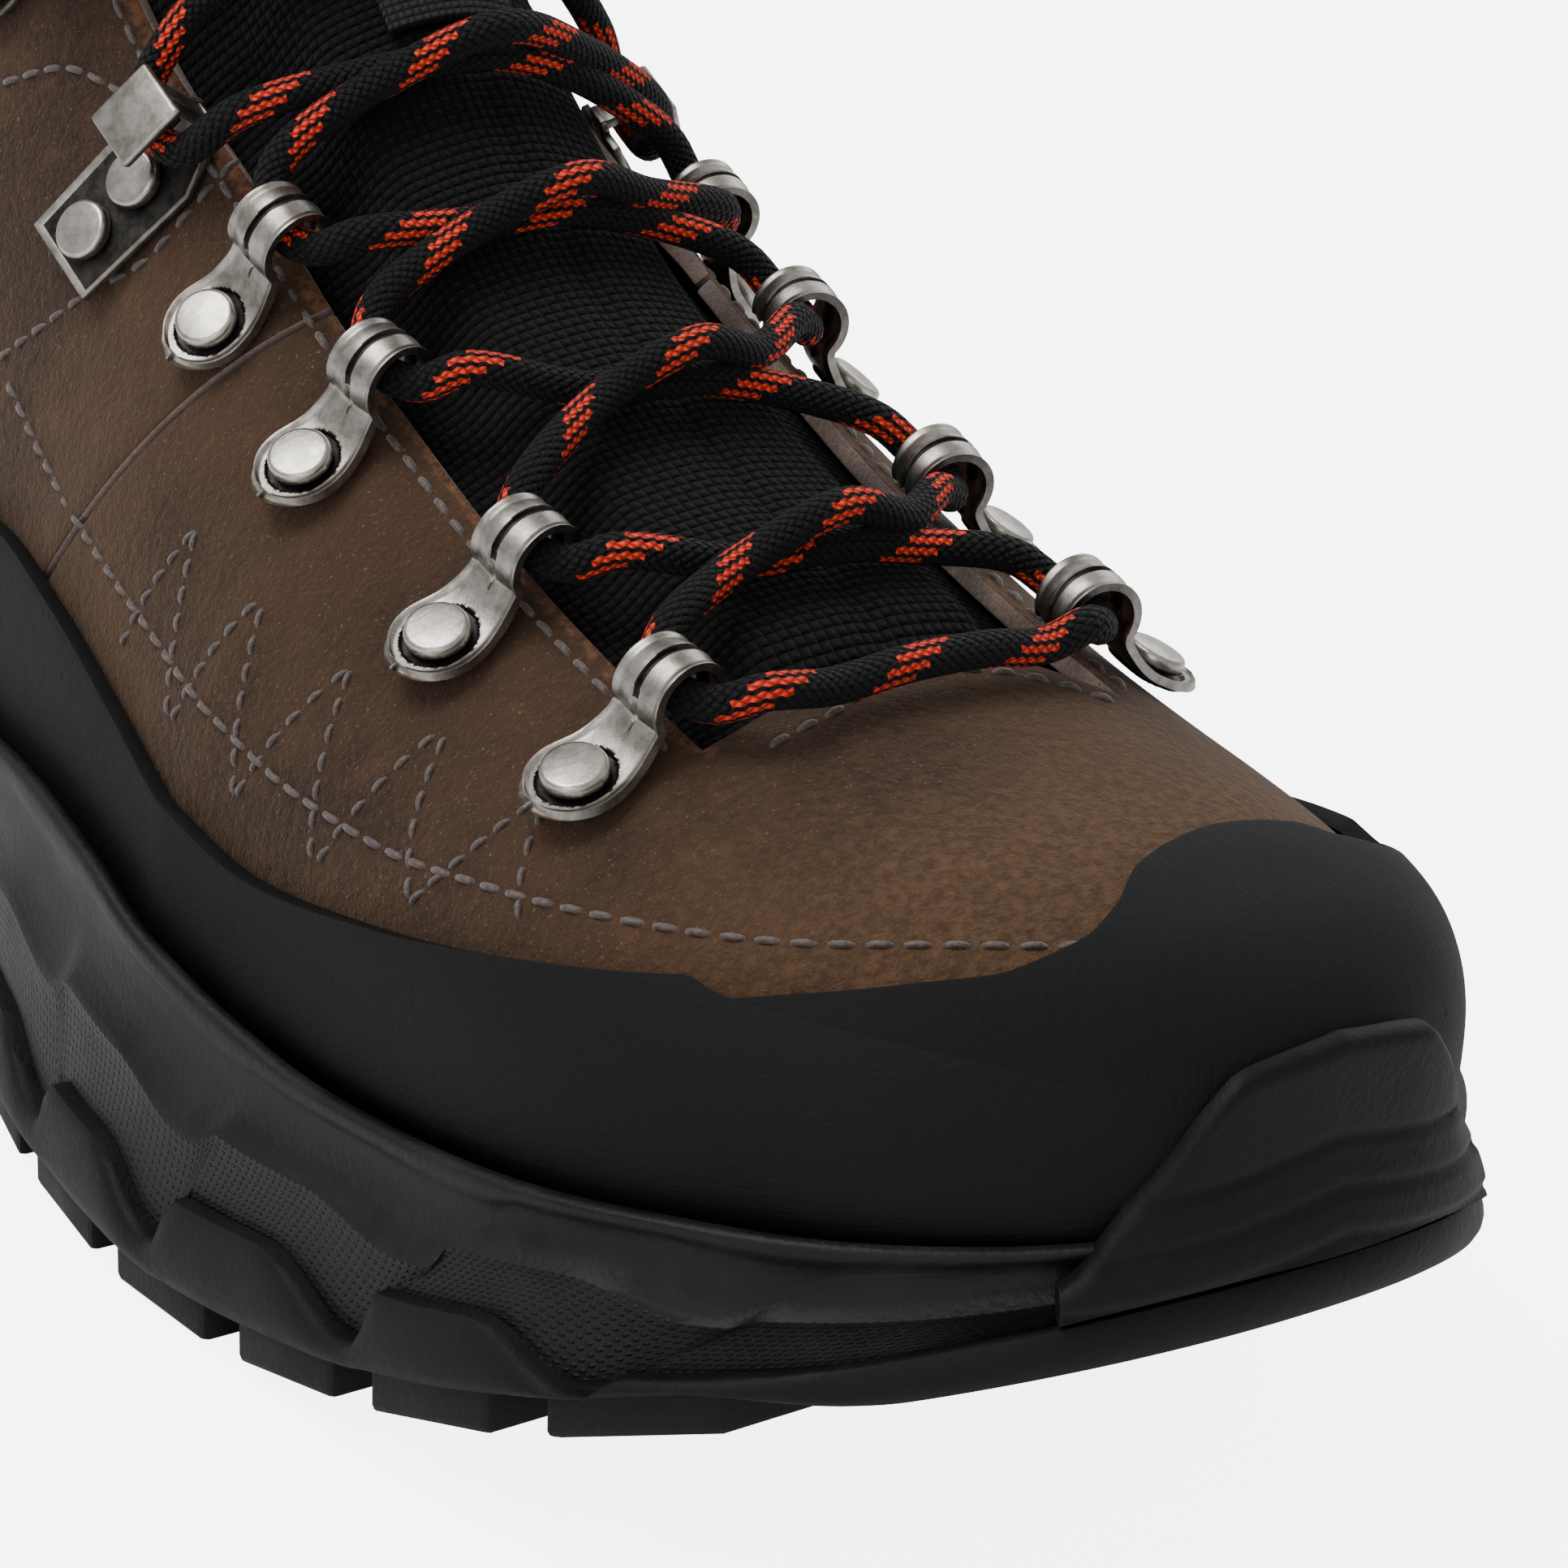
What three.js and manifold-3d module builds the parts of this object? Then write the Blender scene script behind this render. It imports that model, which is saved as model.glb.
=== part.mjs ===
// A laced hiking boot, right foot, toe towards -Y, outer side towards -X, in mm.
// The upper is one curved skin, and every shell of it (leather, linings, stiffeners,
// rand) is a patch of that skin at its own depth. The sole is a stack of outlines.
import * as THREE from 'three';
import Module from 'manifold-3d';

const wasm = await Module();
wasm.setup();
const { Manifold, Mesh } = wasm;

// ---- driving dimensions ------------------------------------------------------
const BOOT_LENGTH = 302;       // toe tip to heel, over the outsole
const TREAD_WIDTH = 111;       // over the outsole at the ball of the foot
const SOLE_FLARE = 7.5;        // how far the outsole stands out past the upper
const MIDSOLE_TOP = 27;        // height of the midsole under the ball of the foot
const OUTSOLE_TOP = 10;        // height where the tread rubber meets the midsole
const LUG_DEPTH = 4.5;
const TOE_SPRING = 31;         // lift of the tread at the toe tip
const LEATHER = 2.2;
const GAP = 0.4;               // clearance left between two pieces that touch
const PLY = 0.9;               // clearance left between two curved shells
const RAND_WALL = 1.8;
const TONGUE_PAD = 4.2;
const LINING_WALL = 2;
const LACE = 3.7;              // lace diameter
const RIVET = 6.4;             // rivet head diameter
const THROAT_GAP = 45;         // between the two eyestay edges at the front
const COLLAR_GAP = 54;         // the same at the collar
const PULL_LOOP_WIDTH = 18;
const HINGE_SLACK = 0.6;       // running clearance of the heel pull loop

const HALF = BOOT_LENGTH / 2;
const SIDE = { outer: -1, inner: 1 };

// ---- helpers -------------------------------------------------------------------
// A smooth curve through a few [x, y] points that never overshoots them.
function curve(points) {
  const xs = points.map(p => p[0]);
  const ys = points.map(p => p[1]);
  const slope = ys.slice(1).map((y, i) => (y - ys[i]) / (xs[i + 1] - xs[i]));
  const tangent = ys.map((_, i) => {
    if (i === 0) return slope[0];
    if (i === ys.length - 1) return slope[i - 1];
    if (slope[i - 1] * slope[i] <= 0) return 0;
    return 2 * slope[i - 1] * slope[i] / (slope[i - 1] + slope[i]);
  });
  return x => {
    if (x <= xs[0]) return ys[0] + tangent[0] * (x - xs[0]);
    const last = xs.length - 1;
    if (x >= xs[last]) return ys[last] + tangent[last] * (x - xs[last]);
    let i = 0;
    while (x > xs[i + 1]) i += 1;
    const h = xs[i + 1] - xs[i];
    const t = (x - xs[i]) / h;
    const a = (1 + 2 * t) * (1 - t) ** 2 * ys[i] + t * (1 - t) ** 2 * h * tangent[i];
    const b = t * t * (3 - 2 * t) * ys[i + 1] + t * t * (t - 1) * h * tangent[i + 1];
    return a + b;
  };
}

const clamp = (x, lo, hi) => Math.min(hi, Math.max(lo, x));
const mix = (a, b, t) => a + (b - a) * t;

function smooth(from, to, x) {
  const t = clamp((x - from) / (to - from), 0, 1);
  return t * t * (3 - 2 * t);
}

// A rounded end for an outline: 0 at the tip, 1 from `reach` onwards.
function roundEnd(distance, reach, power = 2.15) {
  const t = 1 - clamp(distance / reach, 0, 1);
  return (1 - t ** power) ** (1 / power);
}

// ---- the skin of the upper -------------------------------------------------------
// Station u runs from the toe tip (0) to the ball (1), then swings round a point in
// front of the instep up to the collar (2). Angle a runs round each section from the
// top centre line (0) down the outer side (negative) or the inner side (positive).
const SWING = { s: 105, z: 190, toCollar: 83.5 };
const UPPER_START = 6;         // toe tip of the upper, behind the tip of the tread
const footTop = curve([[0, 41], [16, 37], [31, 33.5], [51, 30.5], [76, 28.2],
  [111, MIDSOLE_TOP], [150, 28.5], [180, 31.5], [205, 34.5], [240, 37.5], [275, 39.3], [302, 40]]);
const topLine = curve([[0, 50], [1, 54], [4, 58.5], [10, 62.5], [22, 66.5], [40, 70.5], [62, 76.5],
  [85, 85], [105, 95]]);
const bottomLine = s => footTop(s + UPPER_START) + (50 - footTop(UPPER_START)) * (1 - clamp(s / 4, 0, 1)) ** 2;
const instepReach = curve([[0, 95], [10, 86.5], [20, 79], [30, 73.5], [40, 69.5], [50, 67],
  [60, 66], [70, 66.5], [83.5, 67.5], [95, 69]]);
const soleReach = curve([[0, 163], [10, 165], [20, 170], [30, 180], [40, 197], [45, 209],
  [48.5, 221], [51, 226], [54, 223.5], [57, 217.5], [60, 210.5], [66, 197.5], [72, 186],
  [78, 181], [83.5, 181], [95, 183]]);
const outerFoot = curve([[0, 40], [30, 45], [60, 47.5], [90, 49], [105, 49.5]]);
const innerFoot = curve([[0, 36], [30, 40], [60, 42.5], [90, 44.5], [105, 44.5]]);
const centreFoot = curve([[0, 9], [30, 6], [60, 4.5], [105, 2.5]]);
const outerSwing = curve([[0, 49.5], [15, 46], [30, 42], [45, 41], [60, 40], [75, 42],
  [95, 45]]);
const innerSwing = curve([[0, 44.5], [15, 40], [30, 37], [45, 37], [60, 38], [75, 41],
  [95, 44]]);
const centreSwing = curve([[0, 2.5], [25, 1], [50, 0], [95, 0]]);
const widest = curve([[0, 0.6], [60, 0.64], [105, 0.68], [125, 0.7], [145, 0.62],
  [165, 0.54], [200, 0.5]]);
const topPower = curve([[0, 2.4], [40, 2.1], [80, 1.95], [105, 1.9], [135, 1.85],
  [160, 2.1], [200, 2.2]]);
const solePower = curve([[0, 3], [40, 4.4], [105, 5], [145, 4], [160, 2.6],
  [200, 2.3]]);

function section(u) {
  if (u <= 1) {
    const s = SWING.s * (1 - Math.cos(u * Math.PI / 2));
    const cap = roundEnd(s, 58);
    return {
      top: [s, topLine(s)], sole: [s, bottomLine(s)], at: s, centre: centreFoot(s),
      outer: outerFoot(s) * cap, inner: innerFoot(s) * roundEnd(s, 44),
    };
  }
  const degrees = (u - 1) * SWING.toCollar;
  const angle = degrees * Math.PI / 180;
  const ray = r => [SWING.s + r * Math.sin(angle), SWING.z - r * Math.cos(angle)];
  return {
    top: ray(instepReach(degrees)), sole: ray(soleReach(degrees)), at: SWING.s + degrees,
    centre: centreSwing(degrees), outer: outerSwing(degrees), inner: innerSwing(degrees),
  };
}

const WIDTH_SCALE = TREAD_WIDTH / 111;
const LENGTH_SCALE = BOOT_LENGTH / 302;

function skinPoint(u, a) {
  const k = section(Math.max(u, 0));
  const side = a < 0 ? -1 : 1;
  const turn = Math.min(Math.abs(a), Math.PI);
  const upperPart = turn <= Math.PI / 2;
  const power = 2 / (upperPart ? topPower(k.at) : solePower(k.at));
  const across = Math.sin(turn) ** power;
  const along = Math.abs(Math.cos(turn)) ** power;
  const w = widest(k.at);
  const t = upperPart ? w * (1 - along) : w + (1 - w) * along;
  const half = side < 0 ? k.outer : k.inner;
  const s = mix(k.top[0], k.sole[0], t);
  const z = mix(k.top[1], k.sole[1], t);
  const x = (k.centre + side * half * across) * WIDTH_SCALE;
  return new THREE.Vector3(x, (UPPER_START + s) * LENGTH_SCALE - HALF, z);
}

function skinNormal(u, a) {
  if (u < 0.02) return new THREE.Vector3(0, -1, 0);
  const h = 0.012;
  const wrap = angle => (angle > Math.PI ? angle - 2 * Math.PI
    : angle < -Math.PI ? angle + 2 * Math.PI : angle);
  const du = skinPoint(u + h, a).sub(skinPoint(Math.max(u - h, 0), a));
  const da = skinPoint(u, wrap(a + 0.05)).sub(skinPoint(u, wrap(a - 0.05)));
  const normal = da.cross(du).normalize();
  const k = skinPoint(u, Math.PI / 2).add(skinPoint(u, -Math.PI / 2)).multiplyScalar(0.5);
  if (normal.dot(skinPoint(u, a).sub(k)) < 0) normal.negate();
  return normal;
}

function skin(u, a, depth) {
  return skinPoint(u, a).addScaledVector(skinNormal(u, a), depth);
}

// The angle on one side where test(point) changes sign, between two angles.
function angleWhere(u, side, test, from = 0.02, to = Math.PI) {
  let lo = from;
  let hi = to;
  if (test(skinPoint(u, side * lo)) < 0) return lo;
  if (test(skinPoint(u, side * hi)) > 0) return hi;
  for (let i = 0; i < 30; i += 1) {
    const mid = (lo + hi) / 2;
    if (test(skinPoint(u, side * mid)) > 0) lo = mid;
    else hi = mid;
  }
  return (lo + hi) / 2;
}

const stationAt = s => 2 / Math.PI * Math.acos(1 - (s - UPPER_START) / SWING.s);
const stationSwing = degrees => 1 + degrees / SWING.toCollar;
const alongFoot = point => (point.y + HALF) / LENGTH_SCALE;

// ---- shells ------------------------------------------------------------------------
// A patch is a grid of (u, a) cells; a shell is one or more patches with a wall.
function patch(columns, rows, place) {
  const cells = [];
  for (let i = 0; i < columns; i += 1) {
    for (let j = 0; j < rows; j += 1) {
      cells.push([[i, j], [i + 1, j], [i + 1, j + 1], [i, j + 1]]
        .map(([p, q]) => place(p / columns, q / rows)));
    }
  }
  return cells;
}

function shell(cells, outerDepth, innerDepth) {
  const key = v => `${Math.round(v.x * 200)},${Math.round(v.y * 200)},${Math.round(v.z * 200)}`;
  const ids = new Map();
  const outer = [];
  const inner = [];
  const faces = [];
  const idOf = ([u, a]) => {
    const angle = a > Math.PI ? a - 2 * Math.PI : a < -Math.PI ? a + 2 * Math.PI : a;
    const name = key(skinPoint(u, angle));
    if (!ids.has(name)) {
      ids.set(name, outer.length);
      outer.push(skin(u, angle, outerDepth(u, angle)));
      inner.push(skin(u, angle, innerDepth(u, angle)));
    }
    return ids.get(name);
  };
  for (const cell of cells) {
    const [p, q, r, s] = cell.map(idOf);
    for (const f of [[p, q, r], [p, r, s]]) {
      if (new Set(f).size === 3) faces.push(f);
    }
  }
  const count = outer.length;
  const edges = new Map();
  for (const f of faces) {
    for (let k = 0; k < 3; k += 1) edges.set(`${f[k]},${f[(k + 1) % 3]}`, [f[k], f[(k + 1) % 3]]);
  }
  const all = [];
  for (const [a, b, c] of faces) {
    all.push([a, b, c], [a + count, c + count, b + count]);
  }
  for (const [a, b] of edges.values()) {
    if (edges.has(`${b},${a}`)) continue;
    all.push([a, a + count, b + count], [a, b + count, b]);
  }
  return solid([...outer, ...inner], all);
}

// A geometry from points and triangles, turned the right way out.
function solid(points, triangles) {
  let volume = 0;
  for (const [a, b, c] of triangles) {
    volume += points[a].dot(points[b].clone().cross(points[c])) / 6;
  }
  const order = volume < 0 ? ([a, b, c]) => [a, c, b] : f => f;
  const geometry = new THREE.BufferGeometry();
  const position = triangles.map(order).flat().flatMap(i => points[i].toArray());
  geometry.setAttribute('position', new THREE.Float32BufferAttribute(position, 3));
  return geometry;
}

const flat = depth => () => depth;

// ---- outlines of the sole --------------------------------------------------------------
const treadOuter = curve([[0, 52], [60, 54.5], [90, 56], [110, 57], [140, 54], [170, 48],
  [200, 46], [240, 43], [302, 39]]);
const treadInner = curve([[0, 46], [60, 50.5], [90, 53], [110, 52.5], [140, 49], [170, 45.5],
  [200, 43], [240, 41], [302, 38]]);
const treadCentre = curve([[0, 10], [30, 6], [60, 3], [110, 1], [180, 0], [302, 0]]);
const springAt = s => TOE_SPRING * clamp(1 - s / 101, 0, 1) ** 1.5
  + 5 * clamp((s - 284) / 18, 0, 1) ** 2;
const archAt = s => 3.5 * smooth(168, 186, s) * (1 - smooth(206, 216, s));
const treadAt = s => springAt(s) + archAt(s);
const rubberTop = curve([[0, OUTSOLE_TOP + 27.5], [10, OUTSOLE_TOP + 22.5],
  [25, OUTSOLE_TOP + 16], [50, OUTSOLE_TOP + 9], [75, OUTSOLE_TOP + 3.4], [105, OUTSOLE_TOP],
  [170, OUTSOLE_TOP + 2], [230, OUTSOLE_TOP + 4], [302, OUTSOLE_TOP + 6]]);

const RING = 26;
function ring(inset, height, steps = RING) {
  const points = [];
  const raw = [];
  for (let i = 0; i < 2 * steps; i += 1) {
    const outerSide = i <= steps;
    const k = outerSide ? i : 2 * steps - i;
    const s = 302 / 2 * (1 - Math.cos(Math.PI * k / steps));
    const toe = roundEnd(s, outerSide ? 62 : 54);
    const heel = roundEnd(302 - s, 38);
    const half = (outerSide ? treadOuter(s) : treadInner(s)) * toe * heel;
    const x = treadCentre(s) + (outerSide ? -half : half);
    raw.push(new THREE.Vector2(x * WIDTH_SCALE, s * LENGTH_SCALE - HALF));
  }
  for (let i = 0; i < raw.length; i += 1) {
    const before = raw[(i + raw.length - 1) % raw.length];
    const after = raw[(i + 1) % raw.length];
    const t = after.clone().sub(before).normalize();
    const inward = new THREE.Vector2(t.y, -t.x);
    const p = raw[i].clone().addScaledVector(inward, inset);
    const s = (p.y + HALF) / LENGTH_SCALE;
    points.push(new THREE.Vector3(p.x, p.y, height(s)));
  }
  return points;
}

// A solid through a stack of outlines, closed by a strip across its top and bottom.
function stack(rings) {
  const n = rings[0].length;
  const points = rings.flat();
  const faces = [];
  for (let r = 0; r + 1 < rings.length; r += 1) {
    for (let i = 0; i < n; i += 1) {
      const j = (i + 1) % n;
      const [a, b, c, d] = [r * n + i, r * n + j, (r + 1) * n + j, (r + 1) * n + i];
      faces.push([a, b, c], [a, c, d]);
    }
  }
  const caps = [[0, true], [(rings.length - 1) * n, false]];
  for (const [base, under] of caps) {
    for (let i = 0; i < n / 2; i += 1) {
      const quad = [i, i + 1, n - i - 1, (n - i) % n].map(k => base + k);
      const tris = [[quad[0], quad[1], quad[2]], [quad[0], quad[2], quad[3]]];
      for (const f of tris) {
        if (new Set(f).size === 3) faces.push(under ? [f[0], f[2], f[1]] : f);
      }
    }
  }
  return solid(points, faces);
}

function toManifold(geometry) {
  const loose = geometry.index ? geometry.toNonIndexed() : geometry;
  const position = loose.getAttribute('position');
  const ids = new Map();
  const vertices = [];
  const triangles = [];
  for (let i = 0; i < position.count; i += 1) {
    const p = [position.getX(i), position.getY(i), position.getZ(i)];
    const name = p.map(v => Math.round(v * 1e4)).join();
    if (!ids.has(name)) {
      ids.set(name, vertices.length / 3);
      vertices.push(...p);
    }
    triangles.push(ids.get(name));
  }
  const kept = [];
  for (let i = 0; i < triangles.length; i += 3) {
    const face = triangles.slice(i, i + 3);
    if (new Set(face).size === 3) kept.push(...face);
  }
  return new Manifold(new Mesh({
    numProp: 3, vertProperties: new Float32Array(vertices), triVerts: new Uint32Array(kept),
  }));
}

function toGeometry(manifold) {
  const mesh = manifold.getMesh();
  const at = i => new THREE.Vector3(...mesh.vertProperties.slice(i * mesh.numProp, i * mesh.numProp + 3));
  const geometry = new THREE.BufferGeometry();
  const position = Array.from(mesh.triVerts).flatMap(i => at(i).toArray());
  geometry.setAttribute('position', new THREE.Float32BufferAttribute(position, 3));
  return geometry;
}

// ---- the boot --------------------------------------------------------------------------
const boot = new THREE.Group();
boot.name = 'hiking_boot';

function finish(color, roughness, metalness = 0) {
  return () => new THREE.MeshStandardMaterial({ color, roughness, metalness });
}

const nubuck = finish(0x46321f, 0.85);
const rubberBlack = finish(0x232324, 0.75);
const foamRubber = finish(0x302f33, 0.8);
const cloth = finish(0x17171a, 0.95);
const padding = finish(0x55524c, 0.95);
const board = finish(0x8a7a5c, 0.9);
const steel = finish(0x8f8d88, 0.35, 1);
const gunmetal = finish(0x77736c, 0.38, 1);
const cord = finish(0x1b1a1b, 0.8);
const moulded = finish(0x2a2622, 0.7);

function add(name, geometry, material) {
  const mesh = new THREE.Mesh(geometry, material());
  mesh.name = name;
  boot.add(mesh);
  return mesh;
}

// ---- sole ------------------------------------------------------------------------------
function lug(s0, s1, from, to) {
  const corners = [];
  for (const s of [s0, s1]) {
    for (const share of [from, to]) {
      const toe = roundEnd(s, share < 0 ? 62 : 48) * roundEnd(302 - s, 38);
      const half = share < 0 ? treadOuter(s) * toe - 1.2 : treadInner(s) * toe - 1.2;
      const x = (treadCentre(s) + share * half) * WIDTH_SCALE;
      const y = s * LENGTH_SCALE - HALF;
      corners.push([x, y, treadAt(s)], [x, y, treadAt(s) + LUG_DEPTH + 1]);
    }
  }
  return Manifold.hull(corners);
}

function treadLugs() {
  const lugs = [lug(8, 21, -0.5, 0.55)];
  const rows = [[26, 42], [48, 65], [71, 88], [94, 112], [118, 136], [142, 160],
    [212, 228], [234, 250], [256, 271]];
  for (const [s0, s1] of rows) {
    lugs.push(lug(s0, s1, -1, -0.66), lug(s0, s1, 0.64, 1));
    if (s0 === 142) lugs.push(lug(s0 + 2, s1 + 1, -0.3, 0.3));
    else lugs.push(lug(s0 + 2, s1 + 1, -0.5, -0.08), lug(s0 + 2, s1 + 1, 0.06, 0.5));
  }
  lugs.push(lug(276, 292, -0.7, -0.12), lug(276, 292, 0.12, 0.7));
  return lugs;
}

const soleBase = toManifold(stack([
  ring(2, s => treadAt(s) + LUG_DEPTH),
  ring(0, s => mix(treadAt(s) + LUG_DEPTH, rubberTop(s), 0.35)),
  ring(1, s => rubberTop(s)),
]));
add('outsole', toGeometry(Manifold.union([soleBase, ...treadLugs()])), rubberBlack);

// ---- the shells of the upper -------------------------------------------------------------
const THROAT_AT = 56;                    // front edge of the throat, from the toe tip
const THROAT = stationAt(THROAT_AT);
const LASTED = 0.86 * Math.PI;           // the leather is turned under as far as this
const COLLAR = 2;
const throatWidth = u => mix(THROAT_GAP, COLLAR_GAP, smooth(0.9, 1.9, u));

const THROAT_SHIFT = 2;        // how far the throat sits towards the outer side
const edgeMemo = new Map();
function EDGE(u, side) {
  const name = `${u.toFixed(5)},${side}`;
  if (!edgeMemo.has(name)) {
    const at = Math.max(u, THROAT - 0.1);
    const reach = throatWidth(at) / 2 - side * THROAT_SHIFT * (1 - smooth(0.9, 1.3, at));
    const test = p => reach - side * (p.x - skinPoint(at, 0).x);
    const angle = angleWhere(at, side, test, 0.02, 1.5);
    edgeMemo.set(name, angle * smooth(-0.6, THROAT - 0.05, u));
  }
  return edgeMemo.get(name);
}
const outerEdge = u => EDGE(u, -1);
const innerEdge = u => EDGE(u, 1);

const seam = t => mix(1.11, 1.36, t);
const leather = [flat(0), flat(-LEATHER)];

function vampCells() {
  const cells = [];
  cells.push(...patch(10, 6, (p, q) => {
    const u = p * THROAT;
    return [u, mix(-outerEdge(u), innerEdge(u), q)];
  }));
  for (const side of [-1, 1]) {
    const row = (u, q) => side * mix(EDGE(u, side), LASTED, q);
    cells.push(...patch(10, 9, (p, q) => [p * THROAT, row(p * THROAT, q)])
      .map(c => (side < 0 ? [...c].reverse() : c)));
    cells.push(...patch(9, 9, (p, q) => {
      const u = mix(THROAT, seam(q), p);
      return [u, row(u, q)];
    }).map(c => (side < 0 ? [...c].reverse() : c)));
  }
  return cells;
}
add('vamp', shell(vampCells(), ...leather), nubuck);

const HEEL_SEAM = 0.985 * Math.PI;
const CUFF_FROM = 1.8;
function quarterCells(side) {
  const lasted = u => mix(LASTED, HEEL_SEAM, smooth(1.55, 1.62, u));
  const cells = patch(18, 12, (p, q) => {
    const u = mix(seam(q) + 0.012, CUFF_FROM - 0.012, p);
    return [u, side * mix(EDGE(u, side), lasted(u), q)];
  });
  return side < 0 ? cells.map(c => [...c].reverse()) : cells;
}
add('quarter_outer', shell(quarterCells(-1), ...leather), nubuck);
add('quarter_inner', shell(quarterCells(1), ...leather), nubuck);

// A patch that runs right round the underside or the heel, between two angles.
function roundBack(u0, u1, columns, rows, from) {
  return patch(columns, rows, (p, q) => [mix(u0, u1, p), mix(from, 2 * Math.PI - from, q)]);
}
const swing = stationSwing;

add('heel_strip', shell(roundBack(swing(57), CUFF_FROM - 0.02, 7, 4, 0.93 * Math.PI),
  flat(GAP + 1.8), flat(GAP)), nubuck);
add('insole_board', shell(roundBack(stationAt(16), swing(45), 16, 6, 0.8 * Math.PI),
  flat(-LEATHER - PLY), flat(-LEATHER - PLY - 1.3)), board);
add('shank', shell(roundBack(swing(8), swing(42), 8, 2, 0.95 * Math.PI),
  flat(-0.3), flat(-1.9)), steel);
add('toe_puff', shell(patch(8, 14, (p, q) => [mix(0, stationAt(44), p),
  mix(-0.78, 0.78, q) * Math.PI]), flat(-LEATHER - PLY), flat(-LEATHER - PLY - 1.2)), moulded);
add('heel_counter', shell(roundBack(swing(47), swing(63), 6, 14, 0.6 * Math.PI),
  flat(-LEATHER - PLY - 0.4), flat(-LEATHER - PLY - 1.7)), moulded);

// The lining lies closer to the leather low down than under the tongue and the collar.
const TONGUE_TUCK = 9;         // how far the tongue reaches under each eyestay edge
const deepEdge = (u, side) => EDGE(u, side) + (TONGUE_TUCK + 8) / 40;
function liningDepth(u, a) {
  const underTongue = smooth(THROAT - 0.22, THROAT - 0.12, u)
    * (1 - smooth(0, 0.35, Math.abs(a) - deepEdge(u, a < 0 ? -1 : 1)));
  const underPadding = smooth(1.7, 1.77, u);
  return -mix(5.6, LEATHER + TONGUE_PAD + 1.7, Math.max(underTongue, underPadding));
}
const liningTop = 1.985;
add('lining', shell(patch(20, 18, (p, q) => [liningTop * p, mix(-1, 1, q) * Math.PI]),
  liningDepth, (u, a) => liningDepth(u, a) - LINING_WALL), cloth);
add('footbed', shell(roundBack(stationAt(20), swing(44), 14, 6, 0.82 * Math.PI),
  flat(-5.6 - LINING_WALL - PLY), flat(-5.6 - LINING_WALL - PLY - 3.5)), padding);

const paddingCells = roundBack(1.8, liningTop - 0.004, 6, 16, 0.44 * Math.PI);
add('collar_padding', shell(paddingCells, flat(-LEATHER - PLY),
  flat(-LEATHER - TONGUE_PAD - 0.4)), padding);
add('collar_cuff', shell(roundBack(CUFF_FROM, liningTop, 5, 18, 0.41 * Math.PI),
  flat(0.6), flat(-LEATHER)), nubuck);

for (const [name, side] of [['eyestay_outer', -1], ['eyestay_inner', 1]]) {
  const cells = patch(4, 3, (p, q) => {
    const u = mix(CUFF_FROM, liningTop, p);
    return [u, side * mix(EDGE(u, side), 0.395 * Math.PI, q)];
  });
  add(name, shell(side < 0 ? cells.map(c => [...c].reverse()) : cells, ...leather), nubuck);
}

function tongueOuter(u, a) {
  const free = smooth(THROAT + 0.02, THROAT + 0.09, u)
    * (1 - smooth(0.5, 0.82, Math.abs(a) / EDGE(u, a < 0 ? -1 : 1)));
  return mix(-LEATHER - PLY, 0.8, free);
}
add('tongue', shell(patch(22, 12, (p, q) => {
  const u = mix(THROAT - 0.07, 2.09, p);
  const tuck = TONGUE_TUCK / 40;
  return [u, mix(-outerEdge(u) - tuck, innerEdge(u) + tuck, q)];
}), tongueOuter, flat(-LEATHER - TONGUE_PAD - 0.7)), cloth);

// ---- rand ----------------------------------------------------------------------------------
// Its top line rises over the toe as a cap, whose edge is set by station for each angle.
const randLine = curve([[0, 62], [30, 59], [41, 56.5], [56, 54], [75, 51], [95, 49.2], [110, 51.6],
  [125, 56.4], [143, 62], [160, 65.5], [190, 66.5], [235, 66], [302, 65]]);
const CAP_ANGLE = 1.14;
const capLine = curve([[-CAP_ANGLE, 0.486], [-0.95, 0.394], [-0.74, 0.33], [-0.5, 0.314],
  [-0.33, 0.327], [-0.13, 0.365], [0.14, 0.391], [0.39, 0.385], [0.52, 0.37], [0.68, 0.372],
  [0.96, 0.407], [CAP_ANGLE, 0.486]]);
const CAP_END = capLine(CAP_ANGLE);
const randPly = u => PLY + 1.7 * smooth(1.38, 1.5, u) + 1.0 * (1 - smooth(0.35, 0.5, u));
const randFoot = s => footTop(s) + 3.2 + 2.5 * smooth(215, 245, s);

function randCells(side) {
  const top = u => (u <= CAP_END ? CAP_ANGLE : Math.max(angleWhere(u, side,
    p => p.z - randLine(alongFoot(p)), 0.5), mix(CAP_ANGLE, 0.5, smooth(0, 0.3, u - CAP_END))));
  const low = u => Math.max(top(u), angleWhere(u, side, p => p.z - randFoot(alongFoot(p)),
    Math.PI / 2));
  let last = swing(50);
  while (skinPoint(last, side * Math.PI).z < randLine(alongFoot(skinPoint(last, Math.PI)))) last += 0.002;
  const split = 7 / 28;
  const cells = patch(28, 5, (p, q) => {
    const u = p < split ? CAP_END * p / split
      : mix(last, CAP_END, ((1 - p) / (1 - split)) ** 1.5);
    return [u, side * mix(top(u), low(u), q)];
  });
  return side < 0 ? cells.map(c => [...c].reverse()) : cells;
}
const capCells = patch(7, 8, (p, q) => {
  const a = mix(-CAP_ANGLE, CAP_ANGLE, q);
  return [p * capLine(a), a];
});
add('rand', shell([...capCells, ...randCells(-1), ...randCells(1)], u => randPly(u) + RAND_WALL,
  randPly), rubberBlack);

// ---- midsole: a cup whose lip stands round the foot of the rand --------------------------
const lipLine = curve([[0, 42.5], [13, 39.8], [33, 38.2], [50, 36.2], [80, 34], [95, 35.9],
  [110, 39.3], [123, 43], [145, 46], [302, 47]]);
const LIP_WALL = 1.6;
const LIP_SLACK = 1.6;         // between the rand and the lip around it

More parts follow.
